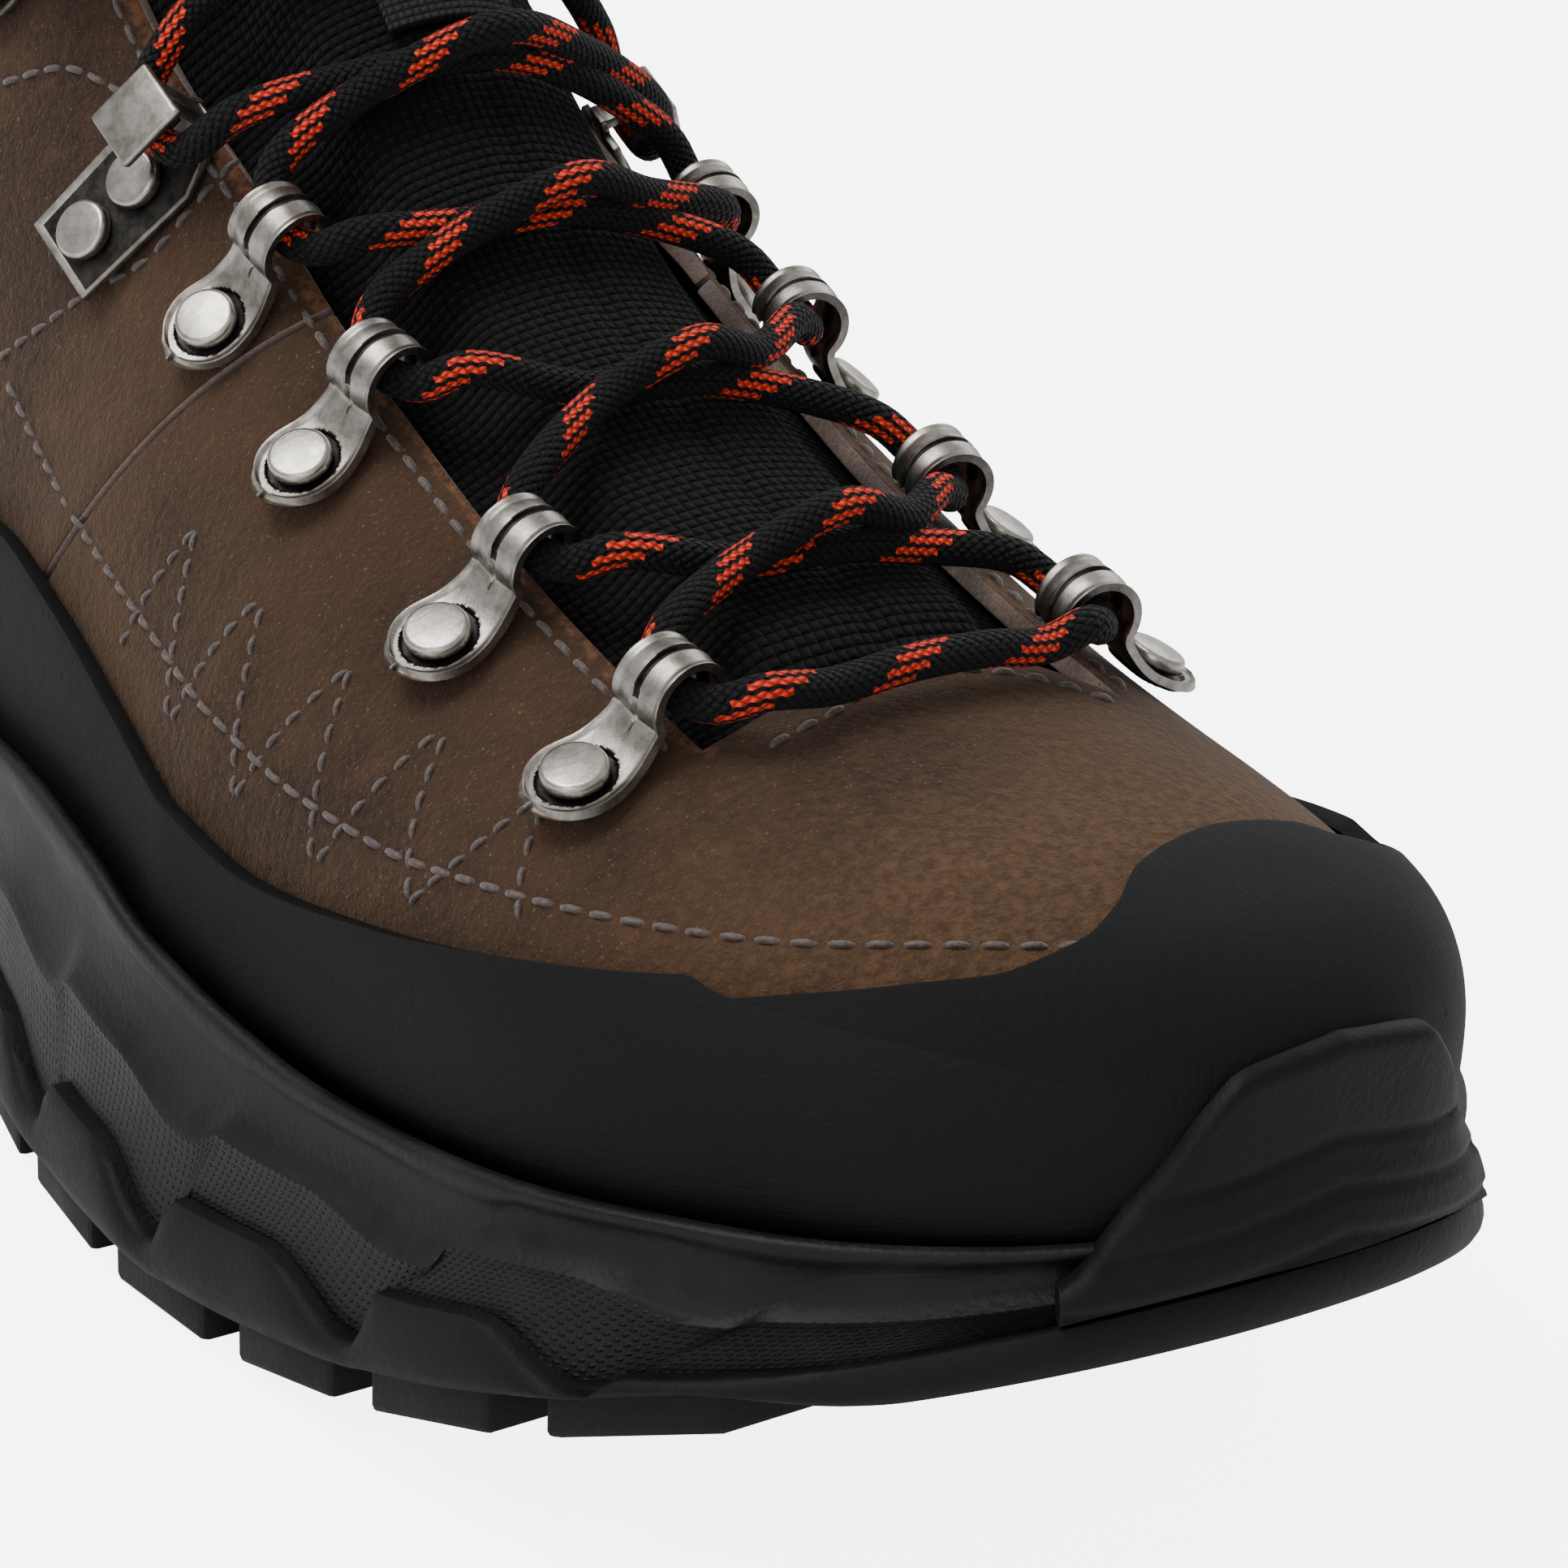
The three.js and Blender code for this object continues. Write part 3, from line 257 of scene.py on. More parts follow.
def node(tree, kind, props=None, **inputs):
    """A shader node: numbers are set on its sockets, other sockets are linked to them."""
    n = tree.nodes.new("ShaderNode" + kind)
    for key, value in (props or {}).items():
        setattr(n, key, value)
    for key, value in inputs.items():
        index = int(key[1:]) if key[0] == "i" and key[1:].isdigit() else key.replace("_", " ")
        if isinstance(value, bpy.types.NodeSocket):
            tree.links.new(value, n.inputs[index])
        else:
            n.inputs[index].default_value = value
    return n


def maths(tree, operation, a, b=0.0, c=0.0):
    return node(tree, "Math", {"operation": operation}, i0=a, i1=b, i2=c).outputs[0]


def ramp(tree, value, lo, hi):
    """0 below lo, 1 above hi, smooth between."""
    n = node(tree, "MapRange", {"interpolation_type": "SMOOTHSTEP"}, Value=value)
    n.inputs["From Min"].default_value = lo
    n.inputs["From Max"].default_value = hi
    return n.outputs[0]


def blend_colours(tree, factor, a, b):
    n = tree.nodes.new("ShaderNodeMix")
    n.data_type = "RGBA"
    for socket, value in ((n.inputs[0], factor), (n.inputs[6], a), (n.inputs[7], b)):
        if isinstance(value, bpy.types.NodeSocket):
            tree.links.new(value, socket)
        else:
            socket.default_value = (*value, 1) if isinstance(value, tuple) else value
    return n.outputs[2]


def noise(tree, coordinates, scale, detail=2.0, rough=0.5):
    return node(tree, "TexNoise", Vector=coordinates, Scale=scale, Detail=detail,
                Roughness=rough).outputs[0]


def object_space(tree):
    return node(tree, "TexCoord").outputs["Object"]


def stretched(tree, coordinates, x, y, z=1.0):
    return node(tree, "Mapping", Vector=coordinates, Scale=(x, y, z)).outputs[0]


def add_bump(tree, shader, height, distance, strength=1.0):
    """distance is in millimetres."""
    n = node(tree, "Bump", Height=height, Distance=distance * MM, Strength=strength)
    tree.links.new(n.outputs[0], shader.inputs["Normal"])


def uv_axes(tree):
    n = node(tree, "SeparateXYZ", Vector=node(tree, "UVMap", {"uv_map": "UVMap"}).outputs[0])
    return n.outputs[0], n.outputs[1]


def set_shader(shader, **values):
    for key, value in values.items():
        shader.inputs[key.replace("_", " ")].default_value = value


# %% [markdown]
# ## Woven finishes
# The tongue is coarse cloth and the lace is a round braid. Both are the same thing: two
# sets of yarns that pass over and under each other. One group of nodes makes that height
# from two coordinates counted in yarns. On the tongue they run square to each other, and on
# the lace they wind round it both ways.

# %% Woven height
def woven(tree, x, y, dip=0.55):
    """Height from 0 to 1 of a plain weave whose yarns lie at whole steps of x and y."""
    fx, fy = maths(tree, "FRACT", x), maths(tree, "FRACT", y)
    cell = maths(tree, "ADD", maths(tree, "FLOOR", x), maths(tree, "FLOOR", y))
    odd = maths(tree, "PINGPONG", cell, 1.0)

    def profile(f, amount):
        off = maths(tree, "MULTIPLY_ADD", f, 2.0, -1.0)
        return maths(tree, "MULTIPLY_ADD", maths(tree, "MULTIPLY", off, off), -amount, 1.0)

    over = maths(tree, "MULTIPLY", profile(fx, 1.0), profile(fy, dip))
    under = maths(tree, "MULTIPLY", profile(fy, 1.0), profile(fx, dip))
    apart = maths(tree, "SUBTRACT", over, under)
    return maths(tree, "MULTIPLY_ADD", apart, odd, under)


# %% Lace finish
LACE = 3.7
BRAID_YARNS, BRAID_PITCH = 11, 1.15
TRACER_ROWS, TRACER_REPEAT, TRACER_DASH = 10, 15.5, 0.31


def lace_finish():
    m, tree, shader = new_material("lace_braid")
    around, along = uv_axes(tree)
    wound = maths(tree, "MULTIPLY", around, float(BRAID_YARNS))
    steps = maths(tree, "MULTIPLY", along, 1 / BRAID_PITCH)
    height = woven(tree, maths(tree, "ADD", wound, steps), maths(tree, "SUBTRACT", wound, steps))
    row = maths(tree, "MULTIPLY", around, float(TRACER_ROWS))
    whole = maths(tree, "FLOOR", row)
    in_row = maths(tree, "FRACT", row)
    shift = maths(tree, "MULTIPLY", whole, 1 / TRACER_ROWS)
    dash = maths(tree, "FRACT", maths(tree, "ADD", shift,
                                      maths(tree, "MULTIPLY", along, 1 / TRACER_REPEAT)))
    in_dash = maths(tree, "LESS_THAN", dash, TRACER_DASH)
    twist = maths(tree, "SINE", maths(tree, "MULTIPLY", steps, 2 * PI))
    off = maths(tree, "ABSOLUTE", maths(tree, "MULTIPLY_ADD", twist, 0.1,
                                        maths(tree, "SUBTRACT", in_row, 0.5)))
    in_band = maths(tree, "LESS_THAN", off, 0.3)
    red = maths(tree, "MULTIPLY", in_dash, in_band)
    # Both yarn colours go darker where the braid's height is low: painted shade in the hollows between the
    # yarns.
    black = blend_colours(tree, height, (0.0008, 0.0008, 0.0008), (0.0055, 0.0053, 0.0055))
    orange = blend_colours(tree, height, (0.22, 0.012, 0.006), (0.75, 0.045, 0.018))
    tree.links.new(blend_colours(tree, red, black, orange), shader.inputs["Base Color"])
    fuzz = noise(tree, object_space(tree), 4000.0, 3.0)
    add_bump(tree, shader, maths(tree, "MULTIPLY_ADD", fuzz, 0.25, height), 0.45)
    set_shader(shader, Roughness=0.7, Specular_IOR_Level=0.1, Sheen_Weight=0.02,
               Sheen_Roughness=0.4)
    return m


LACE_FINISH = lace_finish()

# %% [markdown]
# ## The lace
# A lace is a round braid of fixed length. It could be a curve object with a bevel, but the
# braid has to follow it, so it is a mesh tube with a UV map that counts millimetres along
# and turns around. It runs criss-cross through every hook, and one strand lies on the
# other where they cross.

# %% Mesh helpers
def new_piece(name, vertices, faces, uv=None, shade_smooth=True):
    """An object from points in millimetres; uv holds one pair for each corner."""
    mesh = bpy.data.meshes.new(name)
    mesh.from_pydata((np.asarray(vertices, float) * MM).tolist(), [], [list(f) for f in faces])
    if uv is not None:
        layer = mesh.uv_layers.new(name="UVMap")
        layer.data.foreach_set("uv", np.asarray(uv, np.float32).ravel())
    mesh.polygons.foreach_set("use_smooth", [shade_smooth] * len(mesh.polygons))
    piece = bpy.data.objects.new(name, mesh)
    bpy.context.scene.collection.objects.link(piece)
    return piece


def use(piece, *materials):
    for m in materials:
        piece.data.materials.append(m)


def select_only(piece):
    bpy.ops.object.select_all(action="DESELECT")
    piece.select_set(True)
    bpy.context.view_layer.objects.active = piece


def modify(piece, kind, **settings):
    """Adds one modifier and applies it."""
    select_only(piece)
    m = piece.modifiers.new(kind.lower(), kind)
    for key, value in settings.items():
        setattr(m, key, value)
    bpy.ops.object.modifier_apply(modifier=m.name)


def settle(piece, slot, *nodes, body="boot"):
    """Parents a finished piece to the body it rides on and hides the imported parts it stands for; slot,
    what it is made of, is not used.
    """
    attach(piece, body)
    if nodes:
        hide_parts(*nodes)
    bpy.ops.object.select_all(action="DESELECT")


def grid_faces(m, n, closed=False, start=0):
    """Quads of m rows of n points; closed joins the last point of a row to its first."""
    i, j = np.meshgrid(np.arange(m - 1), np.arange(n if closed else n - 1), indexing="ij")
    k = (j + 1) % n
    return (start + np.stack([i * n + j, (i + 1) * n + j, (i + 1) * n + k, i * n + k], -1)).reshape(-1, 4)


def smooth_path(points, step):
    """A centripetal Catmull-Rom line through the points, at even steps."""
    p = np.asarray(points, float)
    p = np.vstack([2 * p[0] - p[1], p, 2 * p[-1] - p[-2]])
    out = []
    for i in range(1, len(p) - 2):
        q = p[i - 1:i + 3]
        t = np.concatenate([[0], np.cumsum(np.linalg.norm(np.diff(q, axis=0), axis=1) ** 0.5)])
        x = np.linspace(t[1], t[2], 24, endpoint=False)[:, None]
        a = [((t[k + 1] - x) * q[k] + (x - t[k]) * q[k + 1]) / (t[k + 1] - t[k]) for k in range(3)]
        b = [((t[k + 2] - x) * a[k] + (x - t[k]) * a[k + 1]) / (t[k + 2] - t[k]) for k in range(2)]
        out.append(((t[2] - x) * b[0] + (x - t[1]) * b[1]) / (t[2] - t[1]))
    dense = np.vstack([*out, p[-2:-1]])
    reach = np.concatenate([[0], np.cumsum(np.linalg.norm(np.diff(dense, axis=0), axis=1))])
    want = np.linspace(0, reach[-1], max(int(round(reach[-1] / step)), 2) + 1)
    return np.stack([np.interp(want, reach, dense[:, k]) for k in range(3)], -1), reach[-1]


def tube(name, points, diameter, step=1.1, sides=16, start_along=0.0):
    path, length = smooth_path(points, step)
    along = np.gradient(path, axis=0)
    along /= np.linalg.norm(along, axis=1)[:, None]
    normal = np.zeros_like(path)
    first = np.cross(along[0], [0.3, 0.2, 0.9])
    normal[0] = first / np.linalg.norm(first)
    for i in range(1, len(path)):
        n = normal[i - 1] - along[i] * np.dot(normal[i - 1], along[i])
        normal[i] = n / np.linalg.norm(n)
    side = np.cross(along, normal)
    turn = np.arange(sides) * 2 * PI / sides
    ring = (normal[:, None] * np.cos(turn)[None, :, None] + side[:, None] * np.sin(turn)[None, :, None])
    vertices = (path[:, None] + ring * diameter / 2).reshape(-1, 3)
    m = len(path)
    faces = [f[::-1] for f in grid_faces(m, sides, closed=True).tolist()]
    far = np.linspace(0, length, m) + start_along
    uv = []
    for i in range(m - 1):
        for j in range(sides):
            uv += [(((j + 1) / sides), far[i]), ((j + 1) / sides, far[i + 1]),
                   (j / sides, far[i + 1]), (j / sides, far[i])]
    base = len(vertices)
    vertices = np.vstack([vertices, path[0] - along[0] * 0.4, path[-1] + along[-1] * 0.4])
    for j in range(sides):
        k = (j + 1) % sides
        faces.append([base, k, j])
        faces.append([base + 1, (m - 1) * sides + j, (m - 1) * sides + k])
        uv += [(0, far[0])] * 3 + [(0, far[-1])] * 3
    return new_piece(name, vertices, faces, uv), path, length


# %% Where the hooks stand
LOOP_BORE, LOOP_WALL, LOOP_WIDTH, RIVET_BACK = LACE + 2.4, 1.3, 4, 11.5
NOSE_LIFT = LOOP_BORE / 2 + LOOP_WALL + 0.5
LOOPS = [station(63), station(87), swing(1.5), swing(14)]
LOCK, OPEN_HOOKS = swing(27), [swing(46), swing(66)]
OPEN_BACK = 4


def eyestay_frame(u, side, back, lift=0.0):
    """x towards the throat, y up the eyestay, z off the leather, as a 4x4 in millimetres."""
    at = float(edge(u, side))
    step = 0.02
    per = np.linalg.norm(skin_point(u, side * at) - skin_point(u, side * (at + step))) / step
    a = side * (at + back / per)
    z = skin_normal(u, a)
    x = skin_point(u, a - side * 0.05) - skin_point(u, a + side * 0.05)
    x = x / np.linalg.norm(x)
    x = x - z * np.dot(x, z)
    x /= np.linalg.norm(x)
    out = np.eye(4)
    out[:3] = np.stack([x, np.cross(z, x), z, skin(u, a, lift)], -1)
    return out


def put(matrix, points):
    return np.asarray(points, float) @ matrix[:3, :3].T + matrix[:3, 3]


# %% Lace route
TONGUE_FACE = 0.8
UNDER = TONGUE_FACE + LACE / 2 + 0.9
OVER = UNDER + LACE + 1
KNOT = swing(79)
KNOT_LIFT = UNDER + 3


def hook_points(u, side):
    back = 0 if u < LOCK else OPEN_BACK
    z = NOSE_LIFT
    local = [(5.6 + back, -7, z + 0.7), (1.5, -4.4, z), (0, 0, z), (1.5, 4.4, z), (5.6 + back, 7, z + 0.7)]
    return list(put(eyestay_frame(u, side, back), [(x, -side * y, h) for x, y, h in local]))


def strand(u0, u1, side, over):
    points = []
    for f in (0.3, 0.5, 0.7):
        u = mix(u0 + 0.06, u1 - 0.06, f)
        lift = mix(UNDER, OVER, np.sin(PI * f) ** 4) if over else UNDER
        at = edge(u, side if f < 0.5 else -side)
        points.append(skin(u, side * at * (1 - 2 * f), lift))
    return points


def lace_half(start):
    rows = [*LOOPS, LOCK, *OPEN_HOOKS]
    side, points = start, []
    for i, u in enumerate(rows):
        points += hook_points(u, side)
        if i + 1 < len(rows):
            points += strand(u, rows[i + 1], side, side < 0)
            side = -side
    return points + [skin(KNOT - 0.045, side * 0.2, UNDER + 0.8)]


BAR_AT = LOOPS[0] - 0.05
bar = [skin(BAR_AT, f * edge(LOOPS[0], np.sign(f)), UNDER + 0.2) for f in (0.5, 0.18, -0.18, -0.5)]
lace, lace_path, lace_length = tube("lace_cord", [*lace_half(1)[::-1], *bar, *lace_half(-1)], LACE)
use(lace, LACE_FINISH)
settle(lace, "lace_cord", "lace")
print(f"the lace is {lace_length:.0f} mm long between its two sides of the knot")

# %% [markdown]
# ## The bow
# Above the knot the lace is free: two loops that go back into the knot, and two ends with
# plastic aglets. They lie round the collar and down the sides, where gravity leaves them.

# %% Bow and ends
BOW = [(KNOT + 0.045, 0.2, 5.4), (1.995, 0.42, 5), (1.992, 0.75, 4.6), (1.98, 1.05, 4.4),
       (1.95, 1.25, 4.4), (1.905, 1.22, 4.6), (1.89, 1.0, 6.4), (1.905, 0.72, 10),
       (1.93, 0.44, 11), (KNOT, 0.22, 10.4)]
END = [(KNOT + 0.065, 0.18, 11), (2.0, 0.4, 10.6), (1.975, 0.7, 10.2), (1.945, 1.0, 9.9),
       (1.915, 1.3, 9.6), (1.86, 1.46, 5), (1.78, 1.52, 3.4), (1.7, 1.54, 3.2), (1.62, 1.53, 3.2)]
TIP = [(1.612, 1.53, 3.2), (1.54, 1.52, 3.2)]


def aglet_finish():
    m, tree, shader = new_material("aglet_plastic")
    speck = noise(tree, object_space(tree), 900.0, 3.0)
    tree.links.new(blend_colours(tree, speck, (0.008, 0.008, 0.008), (0.03, 0.028, 0.028)),
                   shader.inputs["Base Color"])
    add_bump(tree, shader, noise(tree, object_space(tree), 400.0), 0.06)
    set_shader(shader, Roughness=0.28)
    return m


AGLET_FINISH = aglet_finish()
for word, side in (("outer", -1), ("inner", 1)):
    route = [skin(u, side * a, d) for u, a, d in BOW]
    bow, path, length = tube(f"bow_{word}", route, LACE)
    use(bow, LACE_FINISH)
    settle(bow, "lace_cord", f"bow_loop_{word}")
    print(f"bow loop {word}: {length:.0f} mm")
    aglet, _, _ = tube(f"aglet_tip_{word}", [skin(u, side * a, d) for u, a, d in TIP], LACE - 1,
                       step=0.6, sides=20)
    modify(aglet, "BEVEL", width=0.25 * MM, segments=2, limit_method="ANGLE", angle_limit=0.8)
    use(aglet, AGLET_FINISH)
    settle(aglet, "aglet_tip", f"aglet_{word}")
    route = [skin(u, side * a, d) for u, a, d in END]
    end, path, length = tube(f"end_{word}", route, LACE)
    use(end, LACE_FINISH)
    settle(end, "lace_cord", f"lace_end_{word}")
    print(f"lace end {word}: {length:.0f} mm")

# %% [markdown]
# ## Floor and light
# A pale floor and a pale world give the even light of a product table. One big panel over
# the toe and one low panel on the outer side put the soft edges on the rubber and leather.

# %% Floor and light
bpy.ops.object.select_all(action="DESELECT")
bpy.ops.mesh.primitive_plane_add(size=12, location=(0, 0, 0))
floor = bpy.context.object
floor.name = "floor"
floor_material, tree, shader = new_material("floor_paper")
grain = noise(tree, object_space(tree), 300.0)
tree.links.new(blend_colours(tree, grain, (0.86, 0.87, 0.885), (0.9, 0.91, 0.925)),
               shader.inputs["Base Color"])
set_shader(shader, Roughness=0.9, Specular_IOR_Level=0.1, Emission_Color=(0.95, 0.97, 1.0, 1))
glow = maths(tree, "MULTIPLY", node(tree, "LightPath").outputs["Is Camera Ray"], 5.5)
tree.links.new(glow, shader.inputs["Emission Strength"])
floor.data.materials.append(floor_material)

world = bpy.data.worlds.new("studio")
world.use_nodes = True
world.node_tree.nodes["Background"].inputs[0].default_value = (0.96, 0.98, 1.0, 1)
world.node_tree.nodes["Background"].inputs[1].default_value = 0.8
bpy.context.scene.world = world


def panel(name, at, aim, size, power):
    data = bpy.data.lights.new(name, "AREA")
    data.shape, data.size, data.energy = "SQUARE", size, power
    light = bpy.data.objects.new(name, data)
    bpy.context.scene.collection.objects.link(light)
    light.location = at
    light.rotation_euler = (Vector(aim) - Vector(at)).to_track_quat("-Z", "Y").to_euler()


panel("top_panel", (-0.45, 0.05, 1.0), (0, -0.05, 0.05), 0.6, 13)
panel("far_panel", (0.9, 0.35, 0.7), (0, -0.05, 0.08), 0.7, 4)
panel("near_panel", (-0.9, -0.75, 0.45), (0, -0.08, 0.08), 0.6, 4)

# %% [markdown]
# ## Leather
# The upper is nubuck: leather sanded on its outside until it has a short nap. It is brown
# with fine light specks, paler where the toe was pulled over the last, and reddish where it
# has been rubbed. The cut edge shows the raw tan inside of the hide, so every sheet has a
# second finish for its rim.


# %% Leather finishes
def nubuck_finish(name, dark, light, worn):
    m, tree, shader = new_material(name)
    at = object_space(tree)
    cloud = ramp(tree, noise(tree, at, 45.0, 5.0, 0.62), 0.32, 0.7)
    grain = ramp(tree, noise(tree, at, 900.0, 4.0, 0.7), 0.3, 0.72)
    speck = ramp(tree, noise(tree, at, 2600.0, 2.0, 0.6), 0.62, 0.78)
    scuff = ramp(tree, noise(tree, at, 110.0, 6.0, 0.7), 0.56, 0.74)
    base = blend_colours(tree, cloud, dark, light)
    base = blend_colours(tree, maths(tree, "MULTIPLY", grain, 0.55), base, light)
    base = blend_colours(tree, maths(tree, "MULTIPLY", scuff, 0.45), base, worn)
    base = blend_colours(tree, maths(tree, "MULTIPLY", speck, 0.5), base, (0.2, 0.14, 0.1))
    y = node(tree, "SeparateXYZ", Vector=at).outputs[1]
    y = maths(tree, "MULTIPLY_ADD", noise(tree, at, 60.0, 4.0), 0.03, y)
    toe = maths(tree, "SUBTRACT", 1.0, ramp(tree, y, -0.108, -0.078))
    tan = blend_colours(tree, grain, (0.036, 0.018, 0.0085), (0.085, 0.043, 0.019))
    base = blend_colours(tree, maths(tree, "MULTIPLY", toe, 0.75), base, tan)
    raw = node(tree, "Attribute", {"attribute_name": "raw"}).outputs["Fac"]
    frayed = maths(tree, "MULTIPLY_ADD", noise(tree, at, 700.0, 4.0), 0.9,
                   maths(tree, "MULTIPLY_ADD", raw, 1.0, -0.45))
    hide = blend_colours(tree, grain, (0.022, 0.0085, 0.004), (0.105, 0.046, 0.02))
    base = blend_colours(tree, ramp(tree, frayed, 0.3, 0.7), base, hide)
    tree.links.new(base, shader.inputs["Base Color"])
    height = maths(tree, "MULTIPLY_ADD", grain, 0.5,
                   maths(tree, "MULTIPLY", noise(tree, at, 260.0, 6.0, 0.65), 1.0))
    add_bump(tree, shader, height, 0.35)
    rough = maths(tree, "MULTIPLY_ADD", scuff, -0.12, 0.88)
    tree.links.new(rough, shader.inputs["Roughness"])
    set_shader(shader, Specular_IOR_Level=0.2, Sheen_Weight=0.12, Sheen_Roughness=0.45,
               Sheen_Tint=(0.75, 0.55, 0.4, 1))
    return m


def raw_edge_finish():
    m, tree, shader = new_material("raw_hide_edge")
    at = object_space(tree)
    fibre = ramp(tree, noise(tree, at, 1500.0, 5.0, 0.75), 0.25, 0.75)
    patch = ramp(tree, noise(tree, at, 160.0, 4.0), 0.35, 0.65)
    brown = blend_colours(tree, patch, (0.16, 0.065, 0.025), (0.3, 0.14, 0.055))
    tree.links.new(blend_colours(tree, fibre, (0.07, 0.035, 0.02), brown),
                   shader.inputs["Base Color"])
    add_bump(tree, shader, fibre, 0.5)
    set_shader(shader, Roughness=0.95, Sheen_Weight=0.4)
    return m


NUBUCK = nubuck_finish("nubuck", (0.0125, 0.0062, 0.003), (0.037, 0.018, 0.0082), (0.062, 0.021, 0.011))
RAW_EDGE = raw_edge_finish()

# %% [markdown]
# ## Sheets on the last
# A leather sheet is cut flat and pulled over the last. So each one starts as a flat grid,
# is laid over the last by a rule that gives station, angle and depth for each of its
# points, and then gets the thickness of the hide by Solidify and a worn edge by Bevel.


# %% Lay a sheet on the last
def lasted_grid(name, rows, columns, place):
    """place(p, q), for p and q from 0 to 1, gives the station, angle and depth of a point."""
    bpy.ops.object.select_all(action="DESELECT")
    bpy.ops.mesh.primitive_grid_add(x_subdivisions=rows, y_subdivisions=columns, size=1)
    piece = bpy.context.object
    piece.name = piece.data.name = name
    mesh = piece.data
    flat = np.empty(len(mesh.vertices) * 3, np.float32)
    mesh.vertices.foreach_get("co", flat)
    flat = flat.reshape(-1, 3)[:, :2] + 0.5
    m, n = (len(np.unique(flat[:, k].round(5))) for k in (0, 1))
    i, j = (np.rint(flat[:, k] * (c - 1)).astype(int) for k, c in ((0, m), (1, n)))
    p, q = np.meshgrid(np.linspace(0, 1, m), np.linspace(0, 1, n), indexing="ij")
    u, a, depth = place(p, q)
    points = skin(u, a, depth)
    mesh.vertices.foreach_set("co", (points[i, j] * MM).ravel())
    along = np.linalg.norm(np.diff(points, axis=0), axis=2).mean(1)
    along = np.concatenate([[0], np.cumsum(along)])[:, None] + 0 * p
    over = np.cumsum(np.linalg.norm(np.diff(points, axis=1), axis=2), axis=1)
    over = np.concatenate([np.zeros((m, 1)), over], 1)
    over = over - over[:, n // 2:n // 2 + 1]
    corner = np.empty(len(mesh.loops), np.int32)
    mesh.loops.foreach_get("vertex_index", corner)
    uv = np.stack([over[i, j], along[i, j]], -1)[corner]
    mesh.uv_layers[0].name = "UVMap"
    mesh.uv_layers[0].data.foreach_set("uv", uv.astype(np.float32).ravel())
    side = np.where(a < 0, -1, 1)
    from_edge = np.linalg.norm(points - skin(u, side * edge_either(u, a), depth), axis=2)
    raw = (1 - smooth(1.0, 2.1, from_edge)) * smooth(THROAT, THROAT + 0.03, u)
    layer = mesh.attributes.new("raw", "FLOAT", "POINT")
    layer.data.foreach_set("value", raw[i, j].astype(np.float32))
    mesh.update()
    middle = mesh.polygons[(n - 1) // 2 * (m - 1) + (m - 1) // 2]
    near = np.argmin(np.linalg.norm(points * MM - np.array(middle.center), axis=2))
    outward = skin_normal(u, a).reshape(-1, 3)[near]
    if np.dot(outward, middle.normal) < 0:
        mesh.flip_normals()
    return piece


def join(name, parts):
    bpy.ops.object.select_all(action="DESELECT")
    for part in parts:
        part.select_set(True)
    bpy.context.view_layer.objects.active = parts[0]
    if len(parts) > 1:
        bpy.ops.object.join()
    piece = bpy.context.object
    piece.name = piece.data.name = name
    bpy.ops.object.mode_set(mode="EDIT")
    bpy.ops.mesh.select_all(action="SELECT")
    bpy.ops.mesh.remove_doubles(threshold=0.02 * MM)
    bpy.ops.object.mode_set(mode="OBJECT")
    return piece


def finish_sheet(piece, thickness, face, rim=None, worn=0.35):
    """Gives a sheet its thickness, inwards, and rounds its cut edge."""
    use(piece, face, rim or face)
    modify(piece, "SOLIDIFY", thickness=thickness * MM, offset=-1, material_offset_rim=1)
    if worn:
        modify(piece, "BEVEL", width=worn * MM, segments=2, limit_method="ANGLE", angle_limit=0.9)
    select_only(piece)
    bpy.ops.object.shade_smooth_by_angle(angle=0.9)
    print(piece.name, len(piece.data.polygons), "faces")
    return piece


LEATHER, PLY = 2.2, 0.9
LASTED = 0.86 * PI
HIDDEN_TOE = 0.22
throat_front = curve((-0.62, 0.672), (-0.5, 0.672), (-0.39, 0.675), (-0.25, 0.68), (-0.1, 0.692),
                     (0.04, 0.692), (0.16, 0.686), (0.3, 0.67), (0.45, 0.645), (0.6, 0.62))


def seam(q):
    return mix(1.11, 1.36, q)


# %% Vamp
def throat_corner(side):
    return float(throat_front(side * edge(0.65, side)))


def vamp_middle(p, q):
    a = mix(-edge(0.65, -1), edge(0.65, 1), q)
    u = mix(HIDDEN_TOE, throat_front(a), p)
    return u, mix(-edge(u, -1), edge(u, 1), q), 0 * p


def vamp_side(side, p, q):
    corner = throat_corner(side)
    u = np.where(p <= 0.5, mix(HIDDEN_TOE, corner, np.minimum(p * 2, 1)),
                 mix(corner, seam(q), np.maximum(p * 2 - 1, 0)))
    return u, side * mix(edge(u, side), LASTED, q), 0 * p


vamp = join("vamp_leather", [
    lasted_grid("vamp_middle", 56, 44, vamp_middle),
    lasted_grid("vamp_outer", 112, 56, lambda p, q: vamp_side(-1, p, q)),
    lasted_grid("vamp_inner", 112, 56, lambda p, q: vamp_side(1, p, q)),
])
finish_sheet(vamp, LEATHER, NUBUCK, RAW_EDGE)
settle(vamp, "nubuck", "vamp")

